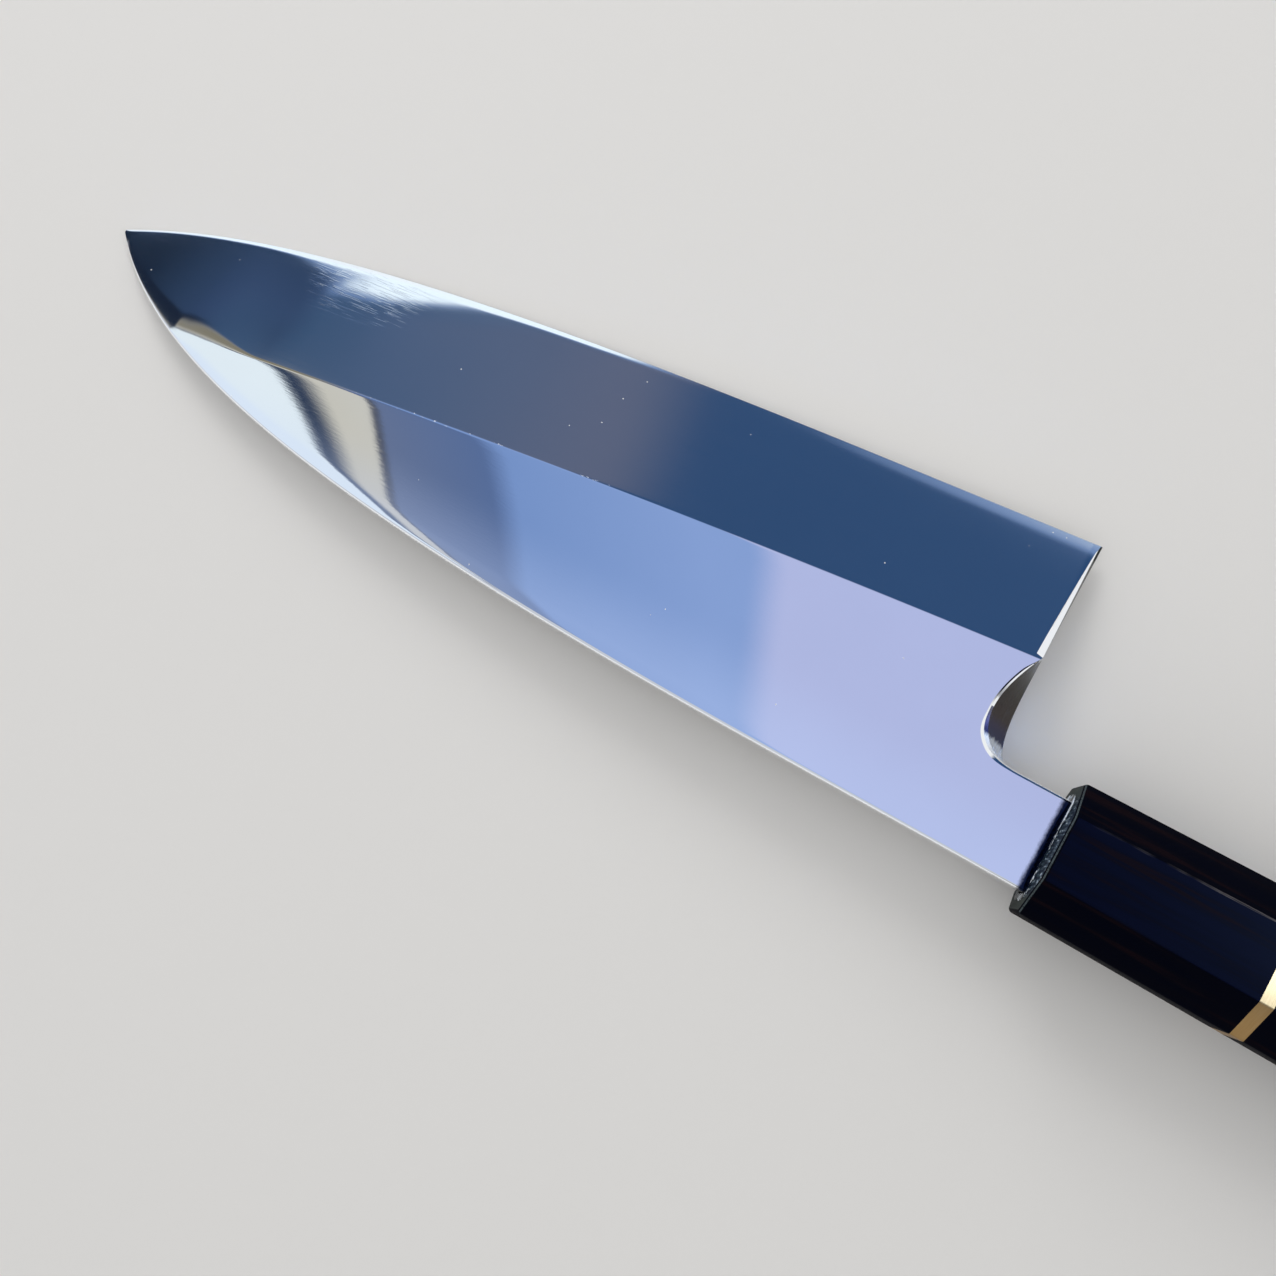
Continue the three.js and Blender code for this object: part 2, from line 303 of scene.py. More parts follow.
by_tip = within(sky, (across, 0.25, 0.29), (across, 0.58, 0.50), (along, -0.75, -0.82))
dome = blend(sky, by_tip, dome, TIP_DARK)
past_edge = scaled(sky, along, EDGE_SLANT, across)
gap = within(sky, (along, -0.90, -0.77), (along, -0.62, -0.74))
past_edge = scaled(sky, gap, GAP_DROP, past_edge)
print("beyond the edge:", len(sky.nodes), "nodes")

# %% [markdown]
# ### By the neck, and the horizon
# The scooped shoulder shows a little of everything: white beside the neck, and dark above and behind it.
# The white past the edge and the pale horizon come last, because they lie over the rest.

# %% Paint the sky by the neck and the horizon
NECK_WHITE, NECK_DARK = srgb(250, 252, 252), srgb(22, 24, 42)
HALO, EDGE_WHITE, HORIZON = srgb(116, 144, 190), srgb(250, 265, 275), srgb(250, 252, 255)
HALO_FROM, EDGE_WHITE_FROM, HORIZON_FROM = (1.17, 1.30), (1.30, 1.42), (0.52, 0.38)
beside_neck = math_node(sky, "MAXIMUM", within(sky, (along, 0.15, 0.22), (across, 0.36, 0.42)),
                        fade(sky, along, 0.29, 0.34))
for share, tone in ((beside_neck, NECK_WHITE),
                    (within(sky, (along, 0.10, 0.24), (across, 0.12, -0.02)), NECK_DARK),
                    (within(sky, (along, 0.29, 0.33), (across, 0.30, 0.20)), NECK_DARK),
                    (fade(sky, past_edge, *HALO_FROM), HALO),
                    (fade(sky, past_edge, *EDGE_WHITE_FROM), EDGE_WHITE),
                    (fade(sky, way["Z"], *HORIZON_FROM), HORIZON)):
    dome = blend(sky, share, dome, tone)
print("by the neck:", len(sky.nodes), "nodes")

# %% [markdown]
# ### Two kinds of rays
# A Background node gives the painted sky to the rays that see it: the camera's, and those from mirrors
# and glass. A second one gives plain white light to all others, so the painting doesn't tint the floor.

# %% Join the painted sky and the plain light
PLAIN_LIGHT = 0.72
painted = add(sky, "ShaderNodeBackground")
wire(sky, dome, painted, "Color")
plain = add(sky, "ShaderNodeBackground")
plain.inputs["Color"].default_value = (1, 1, 1, 1)
plain.inputs["Strength"].default_value = PLAIN_LIGHT
rays = add(sky, "ShaderNodeLightPath").outputs
mirrored = math_node(sky, "MAXIMUM", rays["Is Glossy Ray"], rays["Is Transmission Ray"])
both = add(sky, "ShaderNodeMixShader")
wire(sky, math_node(sky, "MAXIMUM", rays["Is Camera Ray"], mirrored), both, 0)
wire(sky, plain.outputs[0], both, 1)
wire(sky, painted.outputs[0], both, 2)
wire(sky, both.outputs[0], add(sky, "ShaderNodeOutputWorld"), "Surface")
print("sky:", len(sky.nodes), "nodes")

# %% [markdown]
# ## Lamps
# A wide lamp beyond the tip gives the knife its soft shadow and isn't mirrored in the steel. Its beam is
# narrowed, so that the floor under it isn't lit too brightly. A smaller one, as blue as the sky, shines on
# the brass and on the corners of the handle. It gives no plain light, so the floor stays even.

# %% Hang the lamps
AIM = Vector((-0.05, 0, 0))
WHITE, SKY_BLUE = (1.0, 1.0, 1.0), (0.36, 0.54, 1.0)
BEAM_DEGREES = 110


def lamp(name, place, size, watts, colour):
    """A square lamp that faces the middle of the blade."""
    bpy.ops.object.light_add(type="AREA", location=place)
    made = name_new(name)
    made.data.size = size
    made.data.energy = watts
    made.data.color = colour
    made.rotation_euler = (AIM - Vector(place)).to_track_quat("-Z", "Y").to_euler()
    return made


key_lamp = lamp("key_lamp", place=(-0.62, 0.74, 0.52), size=0.5, watts=1.5, colour=WHITE)
key_lamp.visible_glossy = False
key_lamp.data.spread = math.radians(BEAM_DEGREES)
handle_lamp = lamp("handle_lamp", place=(0.60, 0.28, 0.80), size=0.25, watts=56.0, colour=SKY_BLUE)
handle_lamp.visible_diffuse = False


# %% [markdown]
# ## Blade: its curves
# Seen from the face, a deba is drawn by three lines: the spine, straight by the handle and then dropping
# to the tip; the cutting edge, straight by the heel and then rising to the tip; and the ridge line
# between the flat and the bevel. Drawn as curve objects they would have to be sampled again, so each line
# is a small formula.

# %% Tools for curves
HALVINGS = 44


def mix(a, b, share):
    return a + (b - a) * share


def ease(value, low, high):
    """0 to 1 with soft ends, as value goes from low to high."""
    share = min(1.0, max(0.0, (value - low) / (high - low)))
    return share * share * (3 - 2 * share)


def on_curve(points, t):
    a, b, c, d = points
    return a * (1 - t) ** 3 + b * 3 * t * (1 - t) ** 2 + c * 3 * t * t * (1 - t) + d * t ** 3


def height_on(points, x):
    """The height of a curve at x, found by halving the stretch that holds it."""
    near, far = 0.0, 1.0
    for _ in range(HALVINGS):
        middle = (near + far) / 2
        if on_curve(points, middle).x > x:
            near = middle
        else:
            far = middle
    return on_curve(points, near).y


def heading(degrees):
    return Vector((math.cos(math.radians(degrees)), math.sin(math.radians(degrees))))


print("half way, eased:", ease(0.5, 0.0, 1.0))

# %% The lines of the blade, in mm
HEEL_X, TIP_X = -13.7, -193.7
BLADE_LENGTH = HEEL_X - TIP_X
SPINE_Y, NECK_TOP = -8.0, 8.0
EDGE_AT_HEEL, EDGE_ANGLE = 48.0, 4.7
EDGE_DROP = math.tan(math.radians(EDGE_ANGLE))
EDGE_STRAIGHT = 38.5
TIP = Vector((TIP_X, 18.5))
SPINE_START = Vector((-46.5, SPINE_Y))
EDGE_START = Vector((HEEL_X - EDGE_STRAIGHT, EDGE_AT_HEEL - EDGE_STRAIGHT * EDGE_DROP))
RIDGE_AT_HEEL, RIDGE_FALL, RIDGE_BOW = SPINE_Y + 33.9, -16.0, -7.1


def curve_to_tip(start, drop, tip_angle, hold):
    """The four points of a curve from start to the tip. Hold says how long it keeps its way at each end."""
    span = start.x - TIP.x
    return start, start + Vector((-1, -drop)) * span * hold[0], TIP + heading(tip_angle) * span * hold[1], TIP


SPINE_CURVE = curve_to_tip(SPINE_START, drop=0.0, tip_angle=-45.6, hold=(0.68, 0.16))
EDGE_CURVE = curve_to_tip(EDGE_START, drop=EDGE_DROP, tip_angle=27.8, hold=(0.53, 0.2))


def spine_at(x):
    return SPINE_Y if x > SPINE_START.x else height_on(SPINE_CURVE, x)


def edge_at(x):
    return EDGE_AT_HEEL + (x - HEEL_X) * EDGE_DROP if x > EDGE_START.x else height_on(EDGE_CURVE, x)


def ridge_line(x):
    share = (HEEL_X - x) / BLADE_LENGTH
    return RIDGE_AT_HEEL + share * (RIDGE_FALL + share * RIDGE_BOW)


print("heights at x = -100:", round(spine_at(-100), 2), round(ridge_line(-100), 2), round(edge_at(-100), 2))

# %% [markdown]
# ## Blade: how the faces roll
# A stone never leaves a face quite flat. The bevel rolls over in its last millimetres, more widely at the
# belly, and the flat rolls a little towards the spine. A mirror shows even one degree of that, so the
# rolls are worked into the shape itself: a bump map can't bend a reflection as evenly.

# %% The rolls of bevel and flat
SPINE_ROLL_WIDE, SPINE_ROLL_ANGLE, SPINE_ROLL_ENDS = 2.6, 2.6, (-72, -40)
# Widths in mm and degrees of the rolls, and the stretches of X over which they come and go.
LEAST_WIDE, NARROW_TURN, BROAD_TURN = 0.5, 0.5, 0.75
FRONT_WIDE, FRONT_ANGLE, FRONT_WIDENS, FRONT_ENDS = 0.7, 6.2, (-188, -150), (-112, -76)
HEEL_WIDE, HEEL_ANGLE, HEEL_STARTS = 1.9, 1.2, (-92, -50)
BELLY_WIDE, BELLY_ANGLE, BELLY_STARTS, BELLY_ENDS = 7.2, 4.0, (-172, -150), (-142, -102)
FULL_ANGLE, FULL_STARTS, FULL_ENDS = 1.2, (-168, -150), (-144, -126)


def edge_rolls(x):
    """Two rolls of the bevel towards the edge, each with its width, its degrees and the share that turns."""
    front = 1 - ease(x, *FRONT_ENDS)
    heel = ease(x, *HEEL_STARTS)
    belly = ease(x, *BELLY_STARTS) * (1 - ease(x, *BELLY_ENDS))
    full = ease(x, *FULL_STARTS) * (1 - ease(x, *FULL_ENDS))
    wide = LEAST_WIDE + FRONT_WIDE * front * ease(x, *FRONT_WIDENS) + HEEL_WIDE * heel
    narrow = (wide, FRONT_ANGLE * front + HEEL_ANGLE * heel, NARROW_TURN)
    broad = (LEAST_WIDE + BELLY_WIDE * belly, BELLY_ANGLE * belly + FULL_ANGLE * full, BROAD_TURN)
    return narrow, broad


def rolled(wide, slope, turn_in, from_edge):
    """How far one roll has dropped the bevel at a distance from the edge."""
    inside = max(0.0, 1 - from_edge / wide)
    turning = min(inside, turn_in)
    return wide * slope * (turning * turning / (2 * turn_in) + inside - turning)


def spine_slope(x):
    """How steeply the flat ends at the spine: rolled over on the drop to the tip, flat by the handle."""
    return math.tan(math.radians(SPINE_ROLL_ANGLE * (1 - ease(x, *SPINE_ROLL_ENDS))))


print("degrees of roll at the belly:", [round(angle, 1) for wide, angle, turn_in in edge_rolls(-150)])

# %% [markdown]
# ## Blade: one section
# Across its length the blade is a thin wedge that thins from the heel to the tip. The face has a flat, a
# ridge and a long bevel. The back is ground slightly hollow, so that it lies on a stone on two rims only.
# Corners are eased, because a sharp corner would catch no light.

# %% What the parts of a section share
SPINE_THICK, TIP_THICK, EDGE_THICK = 5.6, 2.4, 0.08
BACK_Z = -SPINE_THICK / 2
SPINE_EASE, RIDGE_EASE, HEEL_RIDGE_EASE, RIDGE_SOFTENS = 0.7, 0.3, 0.55, (-110, -50)
LEAST_FLAT = 0.8
RIDGE_PAST, PAST_STARTS, PAST_ENDS = 2.0, (-194, -172), (-172, -156)
# By the tip, where room runs out, no size takes more than its share of what is left.
FLAT_SHARE, EASE_SHARE, EASE_OF_FLAT, SOFT_SHARE = 0.3, 0.3, 0.8, 0.3
PAST_SHARE, ROLL_SHARE, SPINE_ROLL_SHARE = 0.14, 0.4, 0.6


def thickness_at(x):
    return mix(SPINE_THICK, TIP_THICK, max(0.0, x / TIP_X))


def measures(x):
    """The sizes of the section at x. By the tip, where the ridge line runs out, a sliver of flat is left."""
    spine, edge, thick, line = spine_at(x), edge_at(x), thickness_at(x), ridge_line(x)
    width = edge - spine
    ridge = max(line, spine + min(LEAST_FLAT, width * FLAT_SHARE))
    top = min(thick, EDGE_THICK + (edge - ridge) * (thick - EDGE_THICK) / (edge - line))
    ease_by = min(SPINE_EASE, top * EASE_SHARE, (ridge - spine) * EASE_OF_FLAT)
    past = RIDGE_PAST * ease(x, *PAST_STARTS) * (1 - ease(x, *PAST_ENDS))
    past = min(past, (edge - ridge) * PAST_SHARE)
    corner = ridge + past
    ridge_ease = mix(RIDGE_EASE, HEEL_RIDGE_EASE, ease(x, *RIDGE_SOFTENS))
    soft = past + min(ridge_ease, (ridge - spine - ease_by) * SOFT_SHARE)
    spine_wide = min(SPINE_ROLL_WIDE, (ridge - spine) * SPINE_ROLL_SHARE)
    rolls = [(min(wide, (edge - corner) * ROLL_SHARE), math.tan(math.radians(angle)), turn_in)
             for wide, angle, turn_in in edge_rolls(x)]
    return SimpleNamespace(x=x, spine=spine, edge=edge, width=width, top=top, ease_by=ease_by, corner=corner,
                           soft=soft, spine_wide=spine_wide, rolls=rolls)


print("at x = -100:", {key: round(value, 2) for key, value in vars(measures(-100)).items() if key != "rolls"})

# %% The face of a section
SPINE_STEPS, FLAT_STEPS, RIDGE_STEPS, BEVEL_STEPS, BACK_STEPS = 12, 22, 8, 34, 20
STEP_CROWDING = 1.5
BULGE = 0.10


def flat_height(wedge, y):
    inside = max(0.0, 1 - (y - wedge.spine) / wedge.spine_wide)
    return wedge.top - wedge.spine_wide * spine_slope(wedge.x) / 2 * inside * inside


def bevel_height(wedge, y):
    """The bevel: a straight fall to the edge, with a slight bulge and the rolls."""
    from_edge = wedge.edge - y
    run = wedge.edge - wedge.corner
    whole = sum(rolled(*roll, 0.0) for roll in wedge.rolls)
    dropped = sum(rolled(*roll, from_edge) for roll in wedge.rolls)
    share = from_edge / run
    bulge = BULGE * (wedge.top / SPINE_THICK) * 4 * share * (1 - share)
    return EDGE_THICK + (wedge.top - EDGE_THICK - whole) * share + whole - dropped + bulge


def shares_of(steps):
    """The ends of equal steps, as shares of the whole."""
    return [step / steps for step in range(1, steps + 1)]


def face_points(wedge):
    """The face from the spine's round over flat and ridge to the edge. Steps are closest by the two rolls."""
    ridge_in, ridge_out = wedge.corner - wedge.soft, wedge.corner + wedge.soft
    flat = [mix(wedge.spine + wedge.ease_by, ridge_in, share ** STEP_CROWDING)
            for share in shares_of(FLAT_STEPS)]
    points = [(y, flat_height(wedge, y)) for y in flat]
    ends = [Vector((y, z)) for y, z in ((ridge_in, flat_height(wedge, ridge_in)), (wedge.corner, wedge.top),
                                        (ridge_out, bevel_height(wedge, ridge_out)))]
    for share in shares_of(RIDGE_STEPS):
        points.append(tuple(mix(mix(ends[0], ends[1], share), mix(ends[1], ends[2], share), share)))
    bevel = [mix(ridge_out, wedge.edge, 1 - (1 - share) ** STEP_CROWDING) for share in shares_of(BEVEL_STEPS)]
    return points + [(y, bevel_height(wedge, y)) for y in bevel]


print("points on a face:", len(face_points(measures(-100))))

# %% The back of a section, and the whole ring
HOLLOW, HOLLOW_ROUND = 0.5, 1.5
EDGE_RIM, SPINE_RIM = 2.0, 5.0
EDGE_RIM_SHARE, SPINE_RIM_SHARE = 0.15, 0.2


def back_points(wedge):
    """The back from the edge to the spine: a rim, the hollow and a rim."""
    rims = (wedge.edge - min(EDGE_RIM, wedge.width * EDGE_RIM_SHARE),
            wedge.spine + min(SPINE_RIM, wedge.width * SPINE_RIM_SHARE))
    along_blade = min(1.0, max(0.0, (HEEL_X - wedge.x) / BLADE_LENGTH))
    depth = HOLLOW * math.sqrt(math.sin(math.pi * along_blade))
    shares = [0.0] + shares_of(BACK_STEPS)
    hollow = [(mix(*rims, share), depth * (4 * share * (1 - share)) ** HOLLOW_ROUND) for share in shares]
    return [(wedge.edge, 0.0)] + hollow


def spine_round(wedge, height, way):
    """The round from the face or the back, at a height, to the spine."""
    by = wedge.ease_by
    turns = [math.pi / 2 * share for share in [0.0] + shares_of(SPINE_STEPS)]
    return [(wedge.spine + by * (1 - math.sin(turn)), height + way * by * (1 - math.cos(turn)))
            for turn in turns]


def section(x):
    """The ring at x, from the spine over the face to the edge and home along the back."""
    wedge = measures(x)
    brow = spine_round(wedge, flat_height(wedge, wedge.spine + wedge.ease_by), -1)[::-1]
    ring = brow + face_points(wedge) + back_points(wedge) + spine_round(wedge, 0.0, 1)
    return [(x, y, BACK_Z + z) for y, z in ring]


print("points round a section:", len(section(-100.0)))

# %% [markdown]
# ## Blade: its skin
# A grid is a sheet of graph paper. Its rows become the sections, and merging its two borders closes it
# into a tube. The outline could be extruded and ground with bisects instead, as a maker grinds a bar, but
# a plane can't follow the curved ridge or a hollow back.

# %% Wrap a grid round the sections
STATIONS, STATION_CROWDING = 340, 1.25
NECK_END = 5.0
TIP_BLUNT = 0.4
WELD = 1e-7


def wrapped_grid(name, rings):
    """A grid whose rows are laid on rings of points, in mm, and which is closed into a solid."""
    around = len(rings[0])
    only()
    bpy.ops.mesh.primitive_grid_add(x_subdivisions=len(rings) - 1, y_subdivisions=around, size=1)
    made = name_new(name)
    for v in made.data.vertices:
        row = round((v.co.x + 0.5) * (len(rings) - 1))
        column = round((v.co.y + 0.5) * around) % around
        v.co = Vector(rings[row][column]) * MM
    bpy.ops.object.mode_set(mode="EDIT")
    bpy.ops.mesh.select_all(action="SELECT")
    bpy.ops.mesh.remove_doubles(threshold=WELD)
    bpy.ops.mesh.select_all(action="DESELECT")
    bpy.ops.mesh.select_non_manifold()
    bpy.ops.mesh.fill_holes(sides=0)
    bpy.ops.mesh.select_all(action="SELECT")
    bpy.ops.mesh.normals_make_consistent(inside=False)
    bpy.ops.object.mode_set(mode="OBJECT")
    return made


shares = [(number / STATIONS) ** STATION_CROWDING for number in range(STATIONS + 1)]
blade = wrapped_grid("polished_blade", [section(mix(TIP_X + TIP_BLUNT, NECK_END, share)) for share in shares])
print("blade skin:", len(shares), "sections,", len(blade.data.polygons), "faces")

# %% [markdown]
# ## Blade: the shoulder
# Behind the heel the blade is cut back to the neck, and a wheel scoops the inner corner out to a leaning
# wall with an eased rim. Moving points of the skin by hand would leave dents in the polish. A Boolean cut
# keeps every other face as it is, so the shape of the wheel's cut is built as a solid, level by level.

# %% The outline of the cut
CUT_TOP, CUT_END = EDGE_AT_HEEL + 6, NECK_END + 3
HEEL_STEPS, SCOOP_STEPS = 8, 48
HEEL_LEAN, SCOOP_LEAN, HEEL_CHAMFER = 0.5, 1.8, 1.3
RIM_EASE, CRESCENT = 0.45, 0.55
RIM_STARTS, CRESCENT_STARTS, CRESCENT_ENDS = (0.0, 0.12), (0.40, 0.62), (0.74, 0.98)
SCOOP_REACH, SCOOP_TURN, SHOULDER_FILLET = 4.1, 3.1, 4.7
SCOOP_MIDDLE = mix(NECK_TOP, RIDGE_AT_HEEL, 0.45)
OFF_RIDGE, TANGENT_STEP = 0.3, 0.01
EDGE_SHARE = 0.03
FORWARD, DOWNWARD = Vector((-1, 0)), Vector((0, -1))


def face_height(place):
    """How high the face stands over the back near the shoulder: full on the flat, falling along the bevel."""
    down = min(1.0, max(0.0, (place.y - RIDGE_AT_HEEL) / (EDGE_AT_HEEL - RIDGE_AT_HEEL)))
    return thickness_at(place.x) * mix(1.0, EDGE_SHARE, down)


def shoulder_outline(share):
    """Places on the cut at a share of the height, each with the way in and the width and kind of its rim."""
    heel, deep = HEEL_X - HEEL_LEAN * share, HEEL_X - SCOOP_LEAN * share
    scoop = (Vector((heel, RIDGE_AT_HEEL)), Vector((deep - SCOOP_REACH * share, SCOOP_MIDDLE)),
             Vector((deep - SCOOP_TURN * share, NECK_TOP)), Vector((HEEL_X + SHOULDER_FILLET, NECK_TOP)))
    outline = [(Vector((heel, CUT_TOP)), FORWARD, 0.0, "heel")]
    for step in range(HEEL_STEPS + 1):
        place = Vector((heel, mix(EDGE_AT_HEEL, RIDGE_AT_HEEL + OFF_RIDGE, step / HEEL_STEPS)))
        outline.append((place, FORWARD, HEEL_CHAMFER * face_height(place) / SPINE_THICK, "heel"))
    for step in range(SCOOP_STEPS + 1):
        t = step / SCOOP_STEPS
        before, after = max(0.0, t - TANGENT_STEP), min(1.0, t + TANGENT_STEP)
        ahead = on_curve(scoop, after) - on_curve(scoop, before)
        crescent = CRESCENT * ease(t, *CRESCENT_STARTS) * (1 - ease(t, *CRESCENT_ENDS))
        wide = RIM_EASE * ease(t, *RIM_STARTS) + crescent
        outline.append((on_curve(scoop, t), Vector((ahead.y, -ahead.x)).normalized(), wide, "rim"))
    outline.append((Vector((CUT_END, NECK_TOP)), DOWNWARD, RIM_EASE, "rim"))
    return outline + [(Vector((CUT_END, CUT_TOP)), FORWARD, 0.0, "heel")]


print("points on the outline of the cut:", len(shoulder_outline(1.0)))

# %% The levels of the cut: wall and eased rim
SHALLOW, STEEP, HEEL_SLOPE = 0.2, 1.2, 0.75
SHALLOW_SHARE, HEEL_SHARE = 0.62, 0.5


def cut_wall(share):
    """The wall of the cut at a share of the local thickness."""
    return [(place.x, place.y, BACK_Z + face_height(place) * share)
            for place, inward, wide, kind in shoulder_outline(share)]


def rim_drops(wide, kind):
    """How far a rim falls on its shallow upper part and on its steep lower part."""
    if kind == "heel":
        return wide * HEEL_SLOPE * HEEL_SHARE, wide * HEEL_SLOPE * (1 - HEEL_SHARE)
    return wide * SHALLOW_SHARE * SHALLOW, wide * (1 - SHALLOW_SHARE) * STEEP


def rim_foot():
    """Where the eased rim leaves the wall: lower down where the rim is wider."""
    foot = []
    for number, (place, inward, wide, kind) in enumerate(shoulder_outline(1.0)):
        share = 1 - sum(rim_drops(wide, kind)) / face_height(place)
        below = shoulder_outline(share)[number][0]
        foot.append((below.x, below.y, BACK_Z + face_height(place) * share))
    return foot


def rim_line(part, over):
    """A line on the eased rim: its bend or its top, raised and pushed in by a little."""
    line = []
    for place, inward, wide, kind in shoulder_outline(1.0):
        bend = 1 - (HEEL_SHARE if kind == "heel" else SHALLOW_SHARE)
        spot = place + inward * (wide * (1.0 if part == "top" else bend) + over)
        fall = 0.0 if part == "top" else rim_drops(wide, kind)[0]
        line.append((spot.x, spot.y, BACK_Z + face_height(place) - fall + over))
    return line


print("rim drops in mm:", [round(drop, 2) for drop in rim_drops(RIM_EASE + CRESCENT, "rim")])

# %% Cut the shoulder
UNDER, OVER, RIM_OVER = BACK_Z - 3, BACK_Z + SPINE_THICK + 2, 0.25
WALL_LEVELS = (0.0, 0.35, 0.65)


def cut(piece, *tools):
    """Cuts the tools out of a piece and takes the tools away."""
    for tool in tools:
        only(piece)
        bpy.ops.object.modifier_add(type="BOOLEAN")
        boolean = piece.modifiers[-1]
        boolean.operation = "DIFFERENCE"
        boolean.solver = "EXACT"
        boolean.object = tool
        bpy.ops.object.modifier_apply(modifier=boolean.name)
        only(tool)
        bpy.ops.object.delete()
    only(piece)


levels = [cut_wall(share) for share in WALL_LEVELS]
levels += [rim_foot(), rim_line("bend", 0.0), rim_line("top", 0.0), rim_line("top", RIM_OVER)]
levels.insert(0, [(x, y, UNDER) for x, y, z in levels[0]])
levels.append([(x, y, OVER) for x, y, z in levels[-1]])
cut(blade, wrapped_grid("shoulder_cutter", levels))
print("blade with its shoulder:", len(blade.data.polygons), "faces")

# %% [markdown]
# ## Blade: the tang
# Inside the handle the neck steps down to a tang, a tapered spike of the same forging. It could be a cone
# of its own, but the real one has no joint. So the end of the neck is extruded twice and made smaller
# each time, as a smith draws it out.

# %% Draw out the tang
TANG_ROOT, TANG_END = (8.0, 3.6), (5.0, 2.4)
TANG_STEP, TANG_LENGTH = 0.2, 75.0
BLADE_SMOOTH = math.radians(10)
SQUARE_ON, TOUCHING = 0.99, 0.1
neck_size = (NECK_TOP - SPINE_Y, SPINE_THICK)
only(blade)
bpy.ops.object.mode_set(mode="EDIT")
bpy.ops.mesh.select_all(action="DESELECT")
bpy.ops.object.mode_set(mode="OBJECT")
for face in blade.data.polygons:
    face.select = face.normal.x > SQUARE_ON and face.center.x > (NECK_END - TOUCHING) * MM
end_faces = sum(face.select for face in blade.data.polygons)
bpy.ops.object.mode_set(mode="EDIT")
draws = (TANG_STEP, neck_size, TANG_ROOT), (TANG_LENGTH - TANG_STEP, TANG_ROOT, TANG_END)
for length, before, after in draws:
    bpy.ops.mesh.extrude_region_move(TRANSFORM_OT_translate={"value": (length * MM, 0, 0)})
    bpy.ops.transform.resize(value=(1, after[0] / before[0], after[1] / before[1]), center_override=(0, 0, 0))
bpy.ops.object.mode_set(mode="OBJECT")
bpy.ops.object.shade_smooth_by_angle(angle=BLADE_SMOOTH)
print("tang end faces:", end_faces, "blade length in mm:", round(blade.dimensions.x / MM, 1))

# %% [markdown]
# ## Handle: one stick
# The maker glues collar, ring and body together and then planes the whole stick to an octagon, so the
# facets run straight on from piece to piece. An eight-sided cylinder would have equal facets. A tapered
# cube with its four long edges bevelled has the wide and narrow facets of the real one.

# %% Shape the stick
HANDLE_LENGTH = 138.0
HANDLE_FRONT, HANDLE_BUTT = (22.5, 20.0), (25.8, 21.8)
CHAMFER = (5.9, 5.3)
CLOSE = 0.01


def select_edges(piece, wanted):
    """Selects the edges of a piece for which wanted(first end, second end) holds, in mm."""
    only(piece)
    bpy.ops.object.mode_set(mode="EDIT")
    bpy.ops.mesh.select_mode(type="EDGE")
    bpy.ops.mesh.select_all(action="DESELECT")
    bpy.ops.object.mode_set(mode="OBJECT")
    places = [v.co / MM for v in piece.data.vertices]
    for edge in piece.data.edges:
        edge.select = wanted(*(places[i] for i in edge.vertices))
    bpy.ops.object.mode_set(mode="EDIT")


def along_corner(a, b):
    return abs(a.x - b.x) > CLOSE


def resize_all(width, depth):
    bpy.ops.mesh.select_all(action="SELECT")
    bpy.ops.transform.resize(value=(1, width, depth), center_override=(0, 0, 0))


only()
bpy.ops.mesh.primitive_cube_add(size=1, location=(HANDLE_LENGTH / 2 * MM, 0, 0))
stick = name_new("handle_stick")
stick.scale = (HANDLE_LENGTH * MM, HANDLE_FRONT[0] * MM, HANDLE_FRONT[1] * MM)
bpy.ops.object.transform_apply(location=True, rotation=True, scale=True)
select_edges(stick, lambda a, b: min(a.x, b.x) > HANDLE_LENGTH - CLOSE)
bpy.ops.transform.resize(value=(1, HANDLE_BUTT[0] / HANDLE_FRONT[0], HANDLE_BUTT[1] / HANDLE_FRONT[1]),
                         center_override=(0, 0, 0))
# A bevel is as wide on both sides, so the stick is stretched for it and squeezed back.
resize_all(1, CHAMFER[0] / CHAMFER[1])
select_edges(stick, along_corner)
bpy.ops.mesh.bevel(offset=CHAMFER[0] * MM, segments=1, affect="EDGES")
resize_all(1, CHAMFER[1] / CHAMFER[0])
bpy.ops.object.mode_set(mode="OBJECT")
print("stick:", [round(d / MM, 2) for d in stick.dimensions], "faces", len(stick.data.polygons))

# %% [markdown]
# ## Handle: three pieces
# Collar, ring and body are parted where the ring sits. Three separate boxes would never line up so well,
# so copies of the one stick are bisected. Then the front rim, the butt and the long corners are softened,
# as sandpaper does it.

# %% Part the stick into collar, ring and body
JOINTS = (34.6, 36.8)


def slice_of(name, start, end):
    """A copy of the stick between two cuts across it."""
    only(stick)
    bpy.ops.object.duplicate()
    made = name_new(name)
    bpy.ops.object.mode_set(mode="EDIT")
    for place, way_out in ((start, -1), (end, 1)):
        if 0 < place < HANDLE_LENGTH:
            bpy.ops.mesh.select_all(action="SELECT")
            bpy.ops.mesh.bisect(plane_co=(place * MM, 0, 0), plane_no=(way_out, 0, 0), use_fill=True,
                                clear_outer=True)
    bpy.ops.object.mode_set(mode="OBJECT")
    return made


collar = slice_of("ebony_ferrule", 0, JOINTS[0])
ring = slice_of("brass_spacer", *JOINTS)
grip = slice_of("ebony_handle", JOINTS[1], HANDLE_LENGTH)
only(stick)
bpy.ops.object.delete()
print("parted:", [piece.name for piece in (collar, ring, grip)])

# %% Soften rims and corners
FRONT_ROUND, BUTT_ROUND, CORNER_ROUND = (0.7, 4), (1.5, 6), (0.22, 2)


def soften(piece, wanted, radius, steps):
    """Rounds the chosen edges of a piece by a radius in mm, in so many steps."""
    select_edges(piece, wanted)
    bpy.ops.mesh.bevel(offset=radius * MM, segments=steps, affect="EDGES")
    bpy.ops.object.mode_set(mode="OBJECT")


